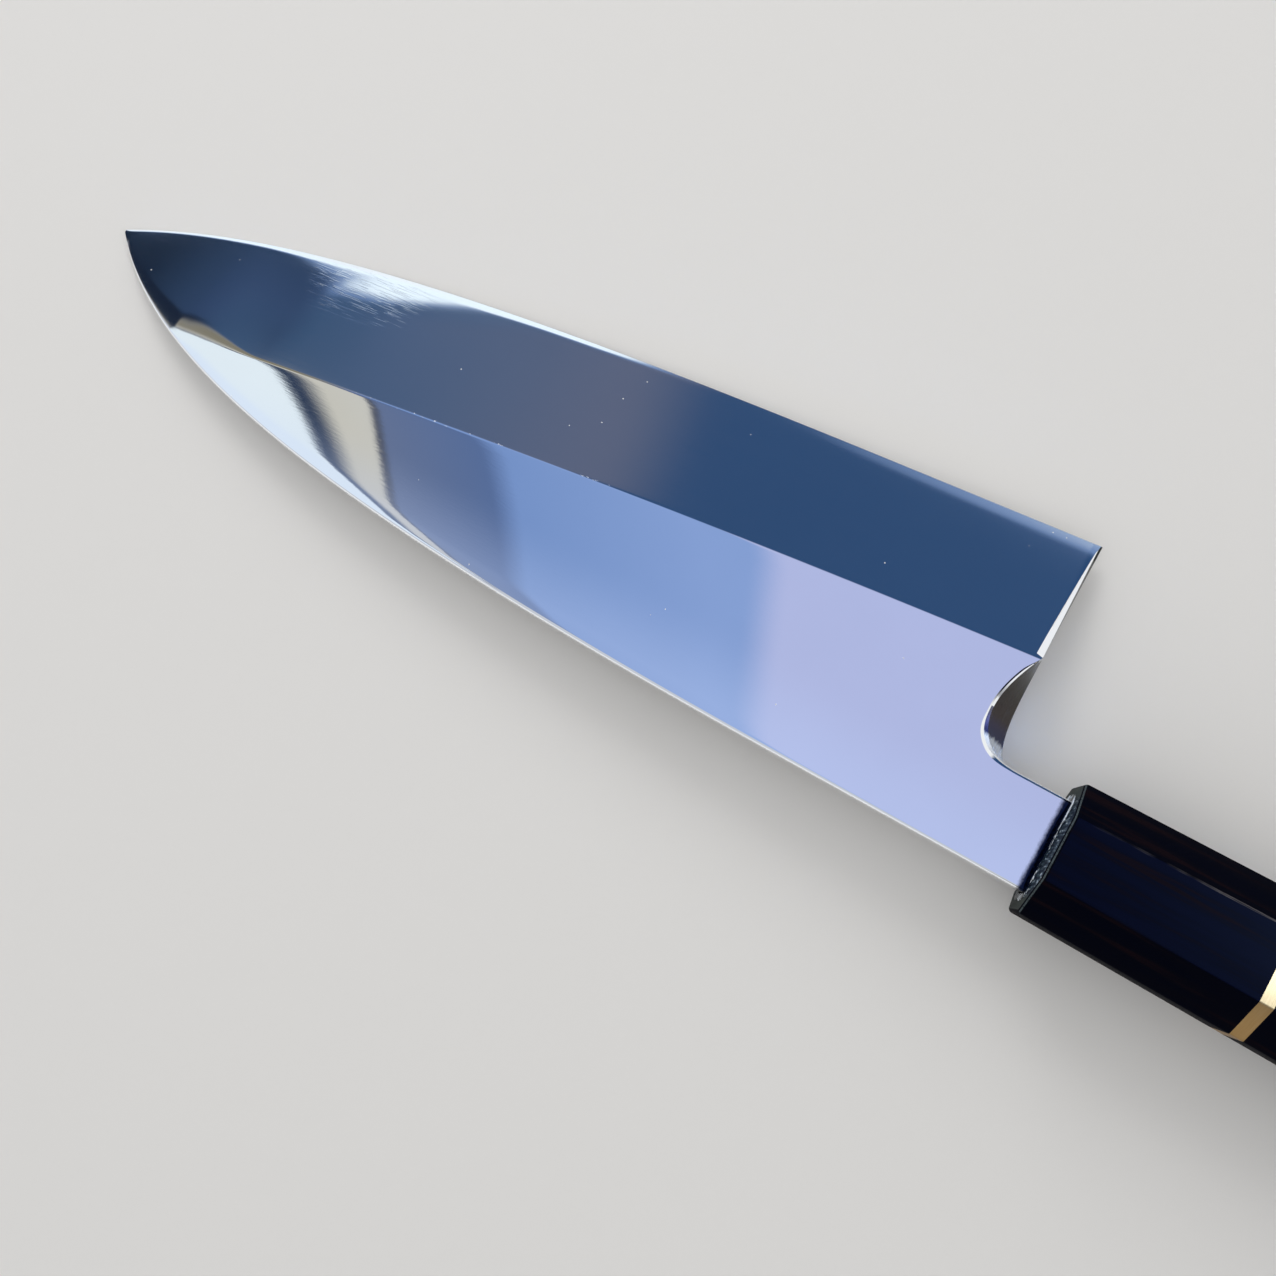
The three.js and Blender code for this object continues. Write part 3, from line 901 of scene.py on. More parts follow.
def rim_at(place):
    return lambda a, b: max(abs(a.x - place), abs(b.x - place)) < CLOSE


soften(collar, rim_at(0), *FRONT_ROUND)
soften(grip, rim_at(HANDLE_LENGTH), *BUTT_ROUND)
for piece in (collar, ring, grip):
    soften(piece, along_corner, *CORNER_ROUND)
    print(piece.name, [round(d / MM, 2) for d in piece.dimensions], len(piece.data.polygons), "faces")

# %% [markdown]
# ## Handle: its hollows
# The neck sits in a pocket, the tang in a slot, and a dowel in a bore that runs through all three pieces.
# Insetting and extruding a face inwards would make each hollow too, but the maker drills and chisels, and
# a Boolean with a box or a cylinder does the same.

# %% Hollow the handle for neck, tang and dowel
POCKET, POCKET_END = (16.4, 6.0), 5.2
SLOT, SLOT_END = (10.4, 6.0), 20.0
DOWEL_BORE, DOWEL_FROM, DOWEL_TO = 7.2, 14.3, 86.6
BORE_SIDES = 96
HANDLE_SMOOTH = math.radians(30)
BEFORE_FRONT, IN_POCKET, BEFORE_RING, PAST_RING = -3.0, 4.0, 30.0, 40.0


def as_tool(name, scale):
    """The primitive that was just added, as a tool with its place and size in its mesh."""
    tool = name_new(name)
    tool.scale = scale
    bpy.ops.object.transform_apply(location=True, rotation=True, scale=True)
    return tool


def box_tool(start, end, width, depth):
    bpy.ops.mesh.primitive_cube_add(size=1, location=((start + end) / 2 * MM, 0, 0))
    return as_tool("box_tool", ((end - start) * MM, width * MM, depth * MM))


def bore_tool(start, end):
    bpy.ops.mesh.primitive_cylinder_add(vertices=BORE_SIDES, radius=DOWEL_BORE * MM, depth=(end - start) * MM,
                                        location=((start + end) / 2 * MM, 0, 0), rotation=(0, math.pi / 2, 0))
    return as_tool("bore_tool", (1, 1, 1))


cut(collar, box_tool(BEFORE_FRONT, POCKET_END, *POCKET), box_tool(IN_POCKET, SLOT_END, *SLOT),
    bore_tool(DOWEL_FROM, PAST_RING))
cut(ring, bore_tool(BEFORE_RING, PAST_RING))
cut(grip, bore_tool(BEFORE_RING, DOWEL_TO))
for piece in (collar, ring, grip):
    only(piece)
    bpy.ops.object.shade_smooth_by_angle(angle=HANDLE_SMOOTH)
    print(piece.name, "hollowed:", len(piece.data.polygons), "faces")

# %% [markdown]
# ## Seal round the neck
# A bead of dark glue closes the slot where the neck goes into the ferrule. It was pressed out and wiped
# by hand, so it is uneven. A swept curve would be too regular. A torus is already a closed bead: its big
# circle is laid round the neck, and its small circle is pressed into the corner between steel and wood,
# with some noise.

# %% The outline of the neck
NECK_HALF = (NECK_TOP, SPINE_THICK / 2)


def neck_path(turn):
    """A point on the neck's rounded outline, and the way out from it, for a turn of 0 to 1."""
    half_y, half_z = NECK_HALF
    bend = math.pi / 2 * SPINE_EASE
    lengths = [2 * (half_y - SPINE_EASE), bend, 2 * (half_z - SPINE_EASE), bend] * 2
    rest = (turn % 1.0) * sum(lengths)
    place, angle = Vector((SPINE_EASE - half_y, half_z)), 0.0
    for number, length in enumerate(lengths):
        step = min(rest, length)
        if number % 2 == 0:
            place = place + Vector((math.cos(angle), math.sin(angle))) * step
        else:
            centre = place + Vector((math.sin(angle), -math.cos(angle))) * SPINE_EASE
            angle -= step / SPINE_EASE
            place = centre + Vector((-math.sin(angle), math.cos(angle))) * SPINE_EASE
        rest -= step
        if rest <= 0:
            break
    return place, Vector((-math.sin(angle), math.cos(angle)))


print("quarter round the neck:", [round(c, 2) for c in neck_path(0.25)[0]])

# %% Lay a bead round the neck
BEAD_AROUND, BEAD_ACROSS = 180, 14
BIG_CIRCLE, SMALL_CIRCLE = 1.0, 0.25
BEAD_WIDE, BEAD_HIGH, BEAD_START, BEAD_FOOT = 0.6, 0.06, 0.1, 0.05
BIG_LUMPS, SMALL_LUMPS = (0.35, 0.9), (0.25, 2.7)
LUMP_LAYER, LUMP_TURN = 3.1, 1.3


def lump_at(place, height, share, scale):
    """How much thicker than even the bead is at a place on its path, for lumps of one size."""
    return share * noise.noise(Vector((place.x * scale, place.y * scale, height)))


only()
bpy.ops.mesh.primitive_torus_add(major_segments=BEAD_AROUND, minor_segments=BEAD_ACROSS,
                                 major_radius=BIG_CIRCLE, minor_radius=SMALL_CIRCLE)
bead = name_new("glue_bead")
for v in bead.data.vertices:
    turn = math.atan2(v.co.y, v.co.x) / (2 * math.pi) % 1.0
    small = math.atan2(v.co.z, math.hypot(v.co.x, v.co.y) - BIG_CIRCLE)
    place, out = neck_path(turn)
    lump = 1 + lump_at(place, LUMP_LAYER, *BIG_LUMPS) + lump_at(place, small * LUMP_TURN, *SMALL_LUMPS)
    spot = place + out * (BEAD_START + (math.cos(small) + 1) * BEAD_WIDE * lump)
    high = -(math.sin(small) * BEAD_HIGH + BEAD_FOOT) * lump
    v.co = Vector((high, spot.x, spot.y)) * MM
bpy.ops.object.mode_set(mode="EDIT")
bpy.ops.mesh.select_all(action="SELECT")
bpy.ops.mesh.normals_make_consistent(inside=False)
bpy.ops.object.mode_set(mode="OBJECT")
bpy.ops.object.shade_smooth()
print("bead:", [round(d / MM, 2) for d in bead.dimensions], len(bead.data.polygons), "faces")


# %% [markdown]
# ## Finishes
# Every finish is a small program of nodes. They all read the same coordinates: millimetres in the knife's
# frame, so that grain runs along the handle and polishing marks along the blade however the knife lies.
# What more than one finish uses is a node group, which is built once and placed with its own values.

# %% Tools for finishes
def finish_named(name):
    """A new material: itself, its node tree, its shader and the knife's millimetres."""
    material = bpy.data.materials.new(name)
    material.use_nodes = True
    tree = material.node_tree
    place = add(tree, "ShaderNodeMapping", vector_type="TEXTURE")
    place.inputs["Location"].default_value = KNIFE.translation
    place.inputs["Rotation"].default_value = KNIFE.to_euler()
    place.inputs["Scale"].default_value = (MM, MM, MM)
    wire(tree, add(tree, "ShaderNodeTexCoord").outputs["Object"], place, "Vector")
    return material, tree, tree.nodes["Principled BSDF"], place.outputs["Vector"]


def stretched(tree, place, scales):
    """The same place, with each axis scaled by its own number."""
    node = add(tree, "ShaderNodeVectorMath", operation="MULTIPLY")
    wire(tree, place, node, 0)
    node.inputs[1].default_value = scales
    return node.outputs["Vector"]


def noise_at(tree, place, scale, detail=2.0, rough=0.5):
    node = add(tree, "ShaderNodeTexNoise")
    wire(tree, place, node, "Vector")
    for socket, value in (("Scale", scale), ("Detail", detail), ("Roughness", rough)):
        node.inputs[socket].default_value = value
    return node.outputs["Fac"]


def between(tree, share, low, high):
    return scaled(tree, share, high - low, low)


def relief(tree, shader, height, strength, distance):
    """Bends the normal by a height. The distance is how high it stands, in mm."""
    node = add(tree, "ShaderNodeBump")
    node.inputs["Strength"].default_value = strength
    node.inputs["Distance"].default_value = distance * MM
    wire(tree, height, node, "Height")
    wire(tree, node.outputs["Normal"], shader, "Normal")


print("finishes are measured from", [round(c / MM, 1) for c in KNIFE.translation], "mm")


# %% Tools for node groups
def new_group(name, inputs, outputs):
    """A node group with a Place and these number inputs: its tree, what comes in and what goes out."""
    group = bpy.data.node_groups.new(name, "ShaderNodeTree")
    group.interface.new_socket(name="Place", in_out="INPUT", socket_type="NodeSocketVector")
    for way_through, labels in (("INPUT", inputs), ("OUTPUT", outputs)):
        for label in labels:
            group.interface.new_socket(name=label, in_out=way_through, socket_type="NodeSocketFloat")
    return group, add(group, "NodeGroupInput").outputs, add(group, "NodeGroupOutput")


def placed(tree, group, **values):
    """Puts a group in a material and sets its inputs."""
    node = add(tree, "ShaderNodeGroup", node_tree=group)
    for label, value in values.items():
        wire(tree, value, node, label)
    return node.outputs


def in_strokes(tree, place, given):
    """A place counted in strokes, by the Length and Width that a group is given."""
    size = add(tree, "ShaderNodeCombineXYZ")
    for axis, side in zip("XYZ", ("Length", "Width", "Width")):
        wire(tree, given[side], size, axis)
    node = add(tree, "ShaderNodeVectorMath", operation="DIVIDE")
    wire(tree, place, node, 0)
    wire(tree, size.outputs["Vector"], node, 1)
    return node.outputs["Vector"]


print("group tools:", [tool.__name__ for tool in (new_group, placed, in_strokes)])

# %% [markdown]
# ### Marks of the polishing stone
# A stone leaves fine lines along its stroke, some deeper grooves and a faint cloud of uneven polish. A
# picture of scratches would repeat and blur. Noise that is drawn out along the stroke does neither, and
# each finish sets its own length, width and turn.

# %% Group: polishing marks
GROOVE_SHAPE, GROOVES_FROM = (1.9, 1.3, 1.3), (0.55, 0.70)
marks, given, out = new_group("polishing_marks", ("Length", "Width", "Turn"), ("Lines", "Grooves", "Cloud"))
turned = add(marks, "ShaderNodeVectorRotate", rotation_type="Z_AXIS")
wire(marks, given["Place"], turned, "Vector")
wire(marks, given["Turn"], turned, "Angle")
strokes = in_strokes(marks, turned.outputs["Vector"], given)
wire(marks, noise_at(marks, strokes, scale=1.0, detail=3.0, rough=0.6), out, "Lines")
deep = noise_at(marks, stretched(marks, strokes, GROOVE_SHAPE), scale=1.0, detail=1.0)
wire(marks, fade(marks, deep, *GROOVES_FROM), out, "Grooves")
wire(marks, noise_at(marks, given["Place"], scale=0.06, detail=3.0, rough=0.6), out, "Cloud")
print("polishing marks:", len(marks.nodes), "nodes")

# %% [markdown]
# ### Dust
# A polished knife shows every speck of dust. Real grains could be scattered over it as small meshes, but
# hundreds of pieces would be heavy to share. A Voronoi texture has one point in each cell, and a small
# circle round it is a speck.

# %% Group: specks of dust
dust, given, out = new_group("dust_specks", ("Cell", "Size"), ("Specks",))
cells = add(dust, "ShaderNodeTexVoronoi")
wire(dust, given["Place"], cells, "Vector")
wire(dust, math_node(dust, "DIVIDE", 1.0, given["Cell"]), cells, "Scale")
apart = times(dust, cells.outputs["Distance"], given["Cell"])
wire(dust, math_node(dust, "LESS_THAN", apart, given["Size"]), out, "Specks")
print("dust specks:", len(dust.nodes), "nodes")

# %% [markdown]
# ### Grain
# Ebony and the pale dowel both have streaks and fine pores that run along the stick. A wave texture would
# draw rings as even as a plank's. Noise that is long in X and narrow across it is closer to a dense
# hardwood.

# %% Group: grain of the wood
PORES = (6.0, 11.0, 11.0)
grain, given, out = new_group("wood_grain", ("Length", "Width"), ("Streaks", "Pores"))
fibres = in_strokes(grain, given["Place"], given)
wire(grain, noise_at(grain, fibres, scale=1.0, detail=4.0, rough=0.6), out, "Streaks")
wire(grain, noise_at(grain, stretched(grain, fibres, PORES), scale=1.0), out, "Pores")
print("wood grain:", len(grain.nodes), "nodes")

# %% [markdown]
# ### Glints of a burr on the ridge
# Along the middle of the ridge line the stone has raised a ragged burr that glints in places. Modelled,
# it would be thinner than the skin's faces. The ridge is a formula, so the nodes can work out the same
# line and mark a narrow strip on it, broken up by noise. The glints are painted highlights: the strip
# gets a pale, matte colour.

# %% Group: painted glints of the burr along the ridge line
BURR_SHAPE, BURR_PATCHES, BURR_FROM = (0.7, 2.5, 2.5), 0.5, (0.86, 0.96)
BURR_STARTS, BURR_ENDS, OFF_BACK = (0.36, 0.48), (0.72, 0.64), (-1.6, -0.9)
burr_glints, given, out = new_group("ridge_burr_glints", ("Width",), ("Burr_glints",))
spot = split(burr_glints, given["Place"])
run = math_node(burr_glints, "DIVIDE", math_node(burr_glints, "SUBTRACT", HEEL_X, spot["X"]), BLADE_LENGTH)
line = scaled(burr_glints, run, scaled(burr_glints, run, RIDGE_BOW, RIDGE_FALL), RIDGE_AT_HEEL)
aside = math_node(burr_glints, "ABSOLUTE", math_node(burr_glints, "SUBTRACT", spot["Y"], line))
close = math_node(burr_glints, "LESS_THAN", aside, given["Width"])
ragged = noise_at(burr_glints, stretched(burr_glints, given["Place"], BURR_SHAPE), scale=1.0, detail=3.0, rough=0.7)
patches = noise_at(burr_glints, given["Place"], scale=0.09, detail=1.0)
broken = fade(burr_glints, scaled(burr_glints, patches, BURR_PATCHES, ragged), *BURR_FROM)
on_face = within(burr_glints, (run, *BURR_STARTS), (run, *BURR_ENDS), (spot["Z"], *OFF_BACK))
wire(burr_glints, times(burr_glints, close, broken, on_face), out, "Burr_glints")
print("ridge burr:", len(burr_glints.nodes), "nodes")

# %% [markdown]
# ### Dark band on the neck
# In front of the ferrule the steel is darker, in a band with a ragged border. A second, thin mesh over the
# steel would flicker against it, so the band is a mask that darkens the steel.

# %% Group: dark band in front of the ferrule
BAND_SHAPE, BAND_RAGGED, BAND_BORDER = (2.0, 0.9, 0.9), 0.8, (-0.45, 0.45)
neck_band, given, out = new_group("dark_neck_band", ("Reach",), ("Band",))
ragged = noise_at(neck_band, stretched(neck_band, given["Place"], BAND_SHAPE), scale=1.0, detail=5.0, rough=0.75)
from_start = math_node(neck_band, "ADD", split(neck_band, given["Place"])["X"], given["Reach"])
wire(neck_band, fade(neck_band, scaled(neck_band, ragged, BAND_RAGGED, from_start), *BAND_BORDER), out, "Band")
print("glue film:", len(neck_band.nodes), "nodes")


# %% [markdown]
# ### Steel
# The flat is a mirror and the bevel a finer satin, because the two were polished on different stones.
# Both are one function with other values: Metallic, low roughness, and marks that tilt the mirror a
# little. Their Bump keeps Strength 1, because less only mixes in the smooth normal, and is tiny in height
# instead. Dust isn't metal.

# %% Steel of the flat and of the bevel
STEEL, PALE_STEEL = (0.85, 0.86, 0.875, 1), (0.90, 0.905, 0.915, 1)
# The dark colour of the band in front of the ferrule.
# The pale colour is real dust, and also the painted glints on the ridge.
BAND_COLOUR, DUST_AND_GLINT_COLOUR = (0.008, 0.013, 0.034, 1), (0.80, 0.80, 0.78, 1)
MIRROR_STROKE = {"Length": 1.6, "Width": 0.3, "Turn": 0.0}
BEVEL_STROKE = {"Length": 11.0, "Width": 0.21, "Turn": math.radians(-5)}


def steel(name, haze, depth, stroke, grooved, scratched):
    """Polished steel: its least and most roughness, its relief, the stone's stroke, grooves and scratches."""
    material, tree, shader, place = finish_named(name)
    strokes = placed(tree, marks, Place=place, **stroke)
    # Pale specks: real dust, and the painted glints of the burr along the ridge.
    specks = math_node(tree, "MAXIMUM", placed(tree, dust, Place=place, Cell=4.0, Size=0.11)["Specks"],
                       placed(tree, burr_glints, Place=place, Width=0.16)["Burr_glints"])
    colour = blend(tree, strokes["Cloud"], STEEL, PALE_STEEL)
    # Darker in a ragged band in front of the ferrule.
    colour = blend(tree, placed(tree, neck_band, Place=place, Reach=1.0)["Band"], colour, BAND_COLOUR)
    wire(tree, blend(tree, specks, colour, DUST_AND_GLINT_COLOUR), shader, "Base Color")
    wire(tree, math_node(tree, "SUBTRACT", 1.0, specks), shader, "Metallic")
    rough = between(tree, strokes["Lines"], *haze)
    wire(tree, math_node(tree, "MAXIMUM", rough, specks), shader, "Roughness")
    fresh = add(tree, "ShaderNodeAttribute", attribute_name="fresh_scratches").outputs["Fac"]
    height = scaled(tree, strokes["Grooves"], scaled(tree, fresh, scratched, grooved), strokes["Lines"])
    relief(tree, shader, height, strength=1.0, distance=depth)
    return material


mirror_steel = steel("mirror_steel", haze=(0.01, 0.03), depth=0.0006, stroke=MIRROR_STROKE,
                     grooved=0.0, scratched=0.0)
bevel_steel = steel("bevel_steel", haze=(0.05, 0.11), depth=0.00018, stroke=BEVEL_STROKE,
                    grooved=0.6, scratched=18.0)
print("steel:", mirror_steel.name, bevel_steel.name)

# %% [markdown]
# ### Ground steel
# The wheel that scoops the shoulder leaves short lines across the wall. The tones on the wall, from brown
# at the top over a dark blue to bright steel by the neck, are painted reflections. A plain mirror would
# show the floor there. A colour ramp along Y, shaken a little by the wheel's lines, gives the tones
# directly.

# %% Steel of the shoulder
WALL_HEIGHT, WALL_SHAKE, WALL_ROUGH = 30.0, 0.06, (0.16, 0.36)
WALL_REFLECTION_TONES = ((0.300, (0.78, 0.80, 0.82, 1)), (0.385, (0.62, 0.66, 0.70, 1)), (0.410, (0.02, 0.024, 0.07, 1)),
              (0.470, (0.05, 0.045, 0.075, 1)), (0.520, (0.060, 0.048, 0.044, 1)),
              (0.700, (0.052, 0.046, 0.038, 1)), (0.880, (0.036, 0.036, 0.032, 1)))
ground_steel_painted_reflection, tree, shader, place = finish_named("ground_steel_painted_reflection")
wheel = placed(tree, marks, Place=place, Length=0.5, Width=5.0, Turn=0.0)["Lines"]
upward = scaled(tree, wheel, WALL_SHAKE, math_node(tree, "DIVIDE", split(tree, place)["Y"], WALL_HEIGHT))
# The ramp's tones are painted reflections on the wall.
wire(tree, ramp(tree, upward, *WALL_REFLECTION_TONES), shader, "Base Color")
shader.inputs["Metallic"].default_value = 1.0
wire(tree, between(tree, wheel, *WALL_ROUGH), shader, "Roughness")
relief(tree, shader, wheel, strength=0.30, distance=0.02)
print("ground steel:", len(tree.nodes), "nodes")

# %% [markdown]
# ### Which face has which finish
# One piece of steel has three finishes. It could be split along the borders, but then its smooth shading
# would break there. So each face of the one mesh gets the number of its material, by its place and its
# normal.

# %% Give every face of the blade its finish
# Faces of the wall lie below this share of the height and face upwards less than this.
SCOOP_RIM, HEEL_RIM, UNDER_RIDGE = (0.97, 0.88), (0.88, 0.78), 0.5
WALL_LENGTH, UNDER_NECK = 9.0, 0.5
BEVEL_RISE, PAST_RIDGE, BEFORE_HEEL = 0.7, 0.1, 1.5
for material in (mirror_steel, bevel_steel, ground_steel_painted_reflection):
    blade.data.materials.append(material)
for face in blade.data.polygons:
    x, y, z = face.center / MM
    share = (z - BACK_Z) / face_height(Vector((x, y)))
    most_share, most_rise = SCOOP_RIM if y < RIDGE_AT_HEEL - UNDER_RIDGE else HEEL_RIM
    on_wall = share < most_share and abs(face.normal.z) < most_rise
    past_ridge = y > max(ridge_line(x), spine_at(x)) + PAST_RIDGE
    if face.normal.z > BEVEL_RISE and past_ridge and x < HEEL_X - BEFORE_HEEL:
        face.material_index = 1
    elif on_wall and HEEL_X - WALL_LENGTH < x < NECK_END and y > NECK_TOP - UNDER_NECK:
        face.material_index = 2
print("faces by finish:", [sum(f.material_index == i for f in blade.data.polygons) for i in range(3)])

# %% [markdown]
# ### Fresh scratches
# At the belly, by the edge, the last strokes of the stone still show. They could be a material of their
# own, with a hard border. A number on each point of the mesh fades them in and out instead, and the steel
# reads it.

# %% Mark where the stone has just been
SCRATCHES_FROM, SCRATCHES_TO, SCRATCHES_DEEP = (-162, -150), (-141, -132), (7, 13)
ABOVE_BACK = 0.05
fresh = []
for v in blade.data.vertices:
    x, y, z = v.co / MM
    on_face = TIP_X < x < HEEL_X and z > BACK_Z + ABOVE_BACK
    belly = ease(x, *SCRATCHES_FROM) * (1 - ease(x, *SCRATCHES_TO))
    fresh.append(belly * (1 - ease(edge_at(x) - y, *SCRATCHES_DEEP)) if on_face else 0.0)
marked = blade.data.attributes.new("fresh_scratches", "FLOAT", "POINT")
marked.data.foreach_set("value", fresh)
print("points with fresh scratches:", sum(value > 0 for value in fresh))

# %% [markdown]
# ### Corners: rubbing and painted sheen
# Hands polish the corners of a handle to a paler line, most on the corner that the thumb slides along and
# on the front rim. The paler line is also a painted highlight, so it lies only on that upper corner and on
# the upward part of the front rim. A Pointiness node finds corners too, but only on fine meshes and not
# after an export. The corners are known here by their normals, so they are marked on the faces.

# %% Mark the corners with rubbing and painted sheen, and the upper facet
lean = math.degrees(math.atan2(CHAMFER[1], CHAMFER[0]))
FACET_TURNS = [0, 90, 180, 270] + [turn + side * lean for turn in (0, 180) for side in (-1, 1)]
RIM_WEAR_AND_SHEEN, THUMB_WEAR_AND_SHEEN = 3.5, 1.0
LEAST_SIDEWAYS, STICK_CORE, FACET_SLACK, RIM_LEAN = 0.1, 9.0, 5, 0.15
RIM_RISE, RIM_FACING, THUMB_TURN, FACES_UP = 0.3, (0.35, 0.8), (5, 40), 0.97


def is_corner(face):
    """Whether a face lies between two facets of the stick, or on the round of its rim."""
    sideways = Vector((face.normal.y, face.normal.z))
    outwards = Vector((face.center.y, face.center.z))
    inside = outwards.dot(sideways) < 0 or outwards.length < STICK_CORE * MM
    if inside or sideways.length < LEAST_SIDEWAYS:
        return False
    turn = math.degrees(math.atan2(sideways.x, sideways.y)) % 360
    nearest = min(abs((turn - facet + 180) % 360 - 180) for facet in FACET_TURNS)
    return nearest > FACET_SLACK or abs(face.normal.x) > RIM_LEAN


def rubbing_and_sheen(face):
    """How much rubbing and painted highlight a face gets."""
    if not is_corner(face):
        return 0.0
    if abs(face.normal.x) > RIM_LEAN:
        to_front = RIM_FACING[0] < -face.normal.x < RIM_FACING[1]
        return RIM_WEAR_AND_SHEEN if to_front and face.normal.z > RIM_RISE else 0.0
    turn = math.degrees(math.atan2(face.normal.y, face.normal.z))
    return THUMB_WEAR_AND_SHEEN if THUMB_TURN[0] < turn < THUMB_TURN[1] else 0.0


for piece in (collar, ring, grip):
    worn_and_sheen = piece.data.attributes.new("worn_and_sheen_corner", "FLOAT", "FACE")
    worn_and_sheen.data.foreach_set("value", [rubbing_and_sheen(face) for face in piece.data.polygons])
    facet = piece.data.attributes.new("upper_facet", "FLOAT", "FACE")
    facet.data.foreach_set("value", [float(face.normal.z > FACES_UP) for face in piece.data.polygons])
    print(piece.name, "rubbed faces:", sum(item.value > 0 for item in worn_and_sheen.data))

# %% [markdown]
# ### Rubbing and painted sheen on the wood
# The marks only say which corners get rubbing and painted highlight. On the wood both show in patches, on
# the fibres between the pores, and least by the front of the ferrule. A painted line would be as even as a
# pencil's, so noise breaks it up.

# %% Group: rubbing and painted sheen along edges
HELD_FROM, HELD_MOST, HELD_LEAST = (3.0, 26.0), 1.0, 0.2
PATCHES_FROM, THUMB_PORES, RIM_PORES, RIM_FROM = (0.38, 0.58), (0.34, 0.66), (0.28, 0.52), (1.5, 3.0)
wear_and_sheen_group, given, out = new_group("edge_wear_and_sheen", ("Worn", "Pores"), ("Rubbed_and_sheen", "Rim"))
held = fade(wear_and_sheen_group, split(wear_and_sheen_group, given["Place"])["X"], *HELD_FROM)
held = between(wear_and_sheen_group, held, HELD_LEAST, HELD_MOST)
patchy = fade(wear_and_sheen_group, noise_at(wear_and_sheen_group, given["Place"], scale=0.16, detail=2.0, rough=0.6), *PATCHES_FROM)
thumb = times(wear_and_sheen_group, given["Worn"], fade(wear_and_sheen_group, given["Pores"], *THUMB_PORES), held, patchy)
wire(wear_and_sheen_group, thumb, out, "Rubbed_and_sheen")
wire(wear_and_sheen_group, within(wear_and_sheen_group, (given["Worn"], *RIM_FROM), (given["Pores"], *RIM_PORES)), out, "Rim")
print("edge wear:", len(wear_and_sheen_group.nodes), "nodes")


# %% [markdown]
# ### Ebony
# Ebony is nearly black, with a few red-brown streaks, and its oiled upper facet looks navy under the sky.
# A black with the usual shine turns grey in a pale studio. So the shine is very low, and the sky's navy
# reflection is painted on the upper facet. The black itself is tinted navy as well, a painted sky
# reflection all over.

# %% Ebony of collar and body
# The wood's tones: black with red-brown streaks, tinted navy as a painted sky reflection.
EBONY_WITH_SKY_TINT = ((0.40, (0.0006, 0.0010, 0.0044, 1)), (0.54, (0.0012, 0.0013, 0.0040, 1)),
         (0.64, (0.0056, 0.0026, 0.0044, 1)), (0.76, (0.0020, 0.0014, 0.0028, 1)))
NAVY_SKY_REFLECTION = (0.0014, 0.0026, 0.0135, 1)
# Paler corner tones: rubbing, and partly a painted highlight; the rim's is tinted like the sky.
RUBBED_AND_SHEEN, RIM_RUBBED_AND_SHEEN = (0.085, 0.080, 0.086, 1), (0.060, 0.076, 0.082, 1)
NAVY_FROM, EBONY_SHINE, EBONY_ROUGH = (0.72, 0.40), 0.01, (0.38, 0.63)


def ebony(name, shift):
    """Near-black wood, cut from its own place in the grain."""
    material, tree, shader, place = finish_named(name)
    shifted = add(tree, "ShaderNodeVectorMath", operation="ADD")
    wire(tree, place, shifted, 0)
    shifted.inputs[1].default_value = shift
    wood = placed(tree, grain, Place=shifted.outputs["Vector"], Length=50.0, Width=2.2)
    worn_and_sheen, upper_facet = (add(tree, "ShaderNodeAttribute", attribute_name=mark).outputs["Fac"]
                         for mark in ("worn_and_sheen_corner", "upper_facet"))
    # Navy painted on the upper facet: a painted sky reflection.
    sheen = times(tree, upper_facet, fade(tree, wood["Streaks"], *NAVY_FROM))
    colour = blend(tree, sheen, ramp(tree, wood["Streaks"], *EBONY_WITH_SKY_TINT), NAVY_SKY_REFLECTION)
    rubbed_and_sheen = placed(tree, wear_and_sheen_group, Place=place, Worn=worn_and_sheen, Pores=wood["Pores"])
    # Paler corners: rubbing, and partly a painted highlight.
    colour = blend(tree, rubbed_and_sheen["Rubbed_and_sheen"], colour, RUBBED_AND_SHEEN)
    wire(tree, blend(tree, rubbed_and_sheen["Rim"], colour, RIM_RUBBED_AND_SHEEN), shader, "Base Color")
    wire(tree, EBONY_SHINE, shader, "Specular IOR Level")
    wire(tree, between(tree, wood["Pores"], *EBONY_ROUGH), shader, "Roughness")
    relief(tree, shader, wood["Pores"], strength=0.12, distance=0.05)
    return material


collar.data.materials.append(ebony("ferrule_ebony", shift=(0.0, 0.0, 0.0)))
grip.data.materials.append(ebony("handle_ebony", shift=(40.0, 28.0, 12.0)))
print("ebony on:", collar.name, grip.name)

# %% [markdown]
# ### End grain
# The front of the ferrule is end grain, matter than the sides, and smeared with glue over and under the
# neck. It is one face of the collar, so it gets a second material. Two fades mark the strip by the neck,
# and noise breaks the smear up into film and flakes. The pale flakes are painted glints on the lumps of
# the glue.

# %% End grain with smeared glue
END_GRAIN, DARK_GLUE, FILM, FLAKE_GLINT = ((0.030, 0.037, 0.034, 1), (0.003, 0.006, 0.014, 1),
                                     (0.016, 0.030, 0.038, 1), (0.42, 0.48, 0.52, 1))
SMEAR_WIDE, SMEAR_HIGH, SMEAR_SHAPE = (9.2, 7.6), (10.9, 9.8), (1.0, 1.0, 0.25)
FILM_FROM, FLAKES_FROM, END_SHINE, END_ROUGH = (0.42, 0.58), (0.57, 0.65), 0.08, (0.6, 0.3)
FRONT_ON, FRONT_DEEP = 0.95, 0.05
end_grain, tree, shader, place = finish_named("smeared_end_grain")
spot = split(tree, place)
side, height = (math_node(tree, "ABSOLUTE", spot[axis]) for axis in "YZ")
over_neck = within(tree, (side, *SMEAR_WIDE), (height, *SMEAR_HIGH))
smear = noise_at(tree, stretched(tree, place, SMEAR_SHAPE), scale=1.6, detail=4.0, rough=0.7)
film, flakes = (times(tree, over_neck, fade(tree, smear, *limits)) for limits in (FILM_FROM, FLAKES_FROM))
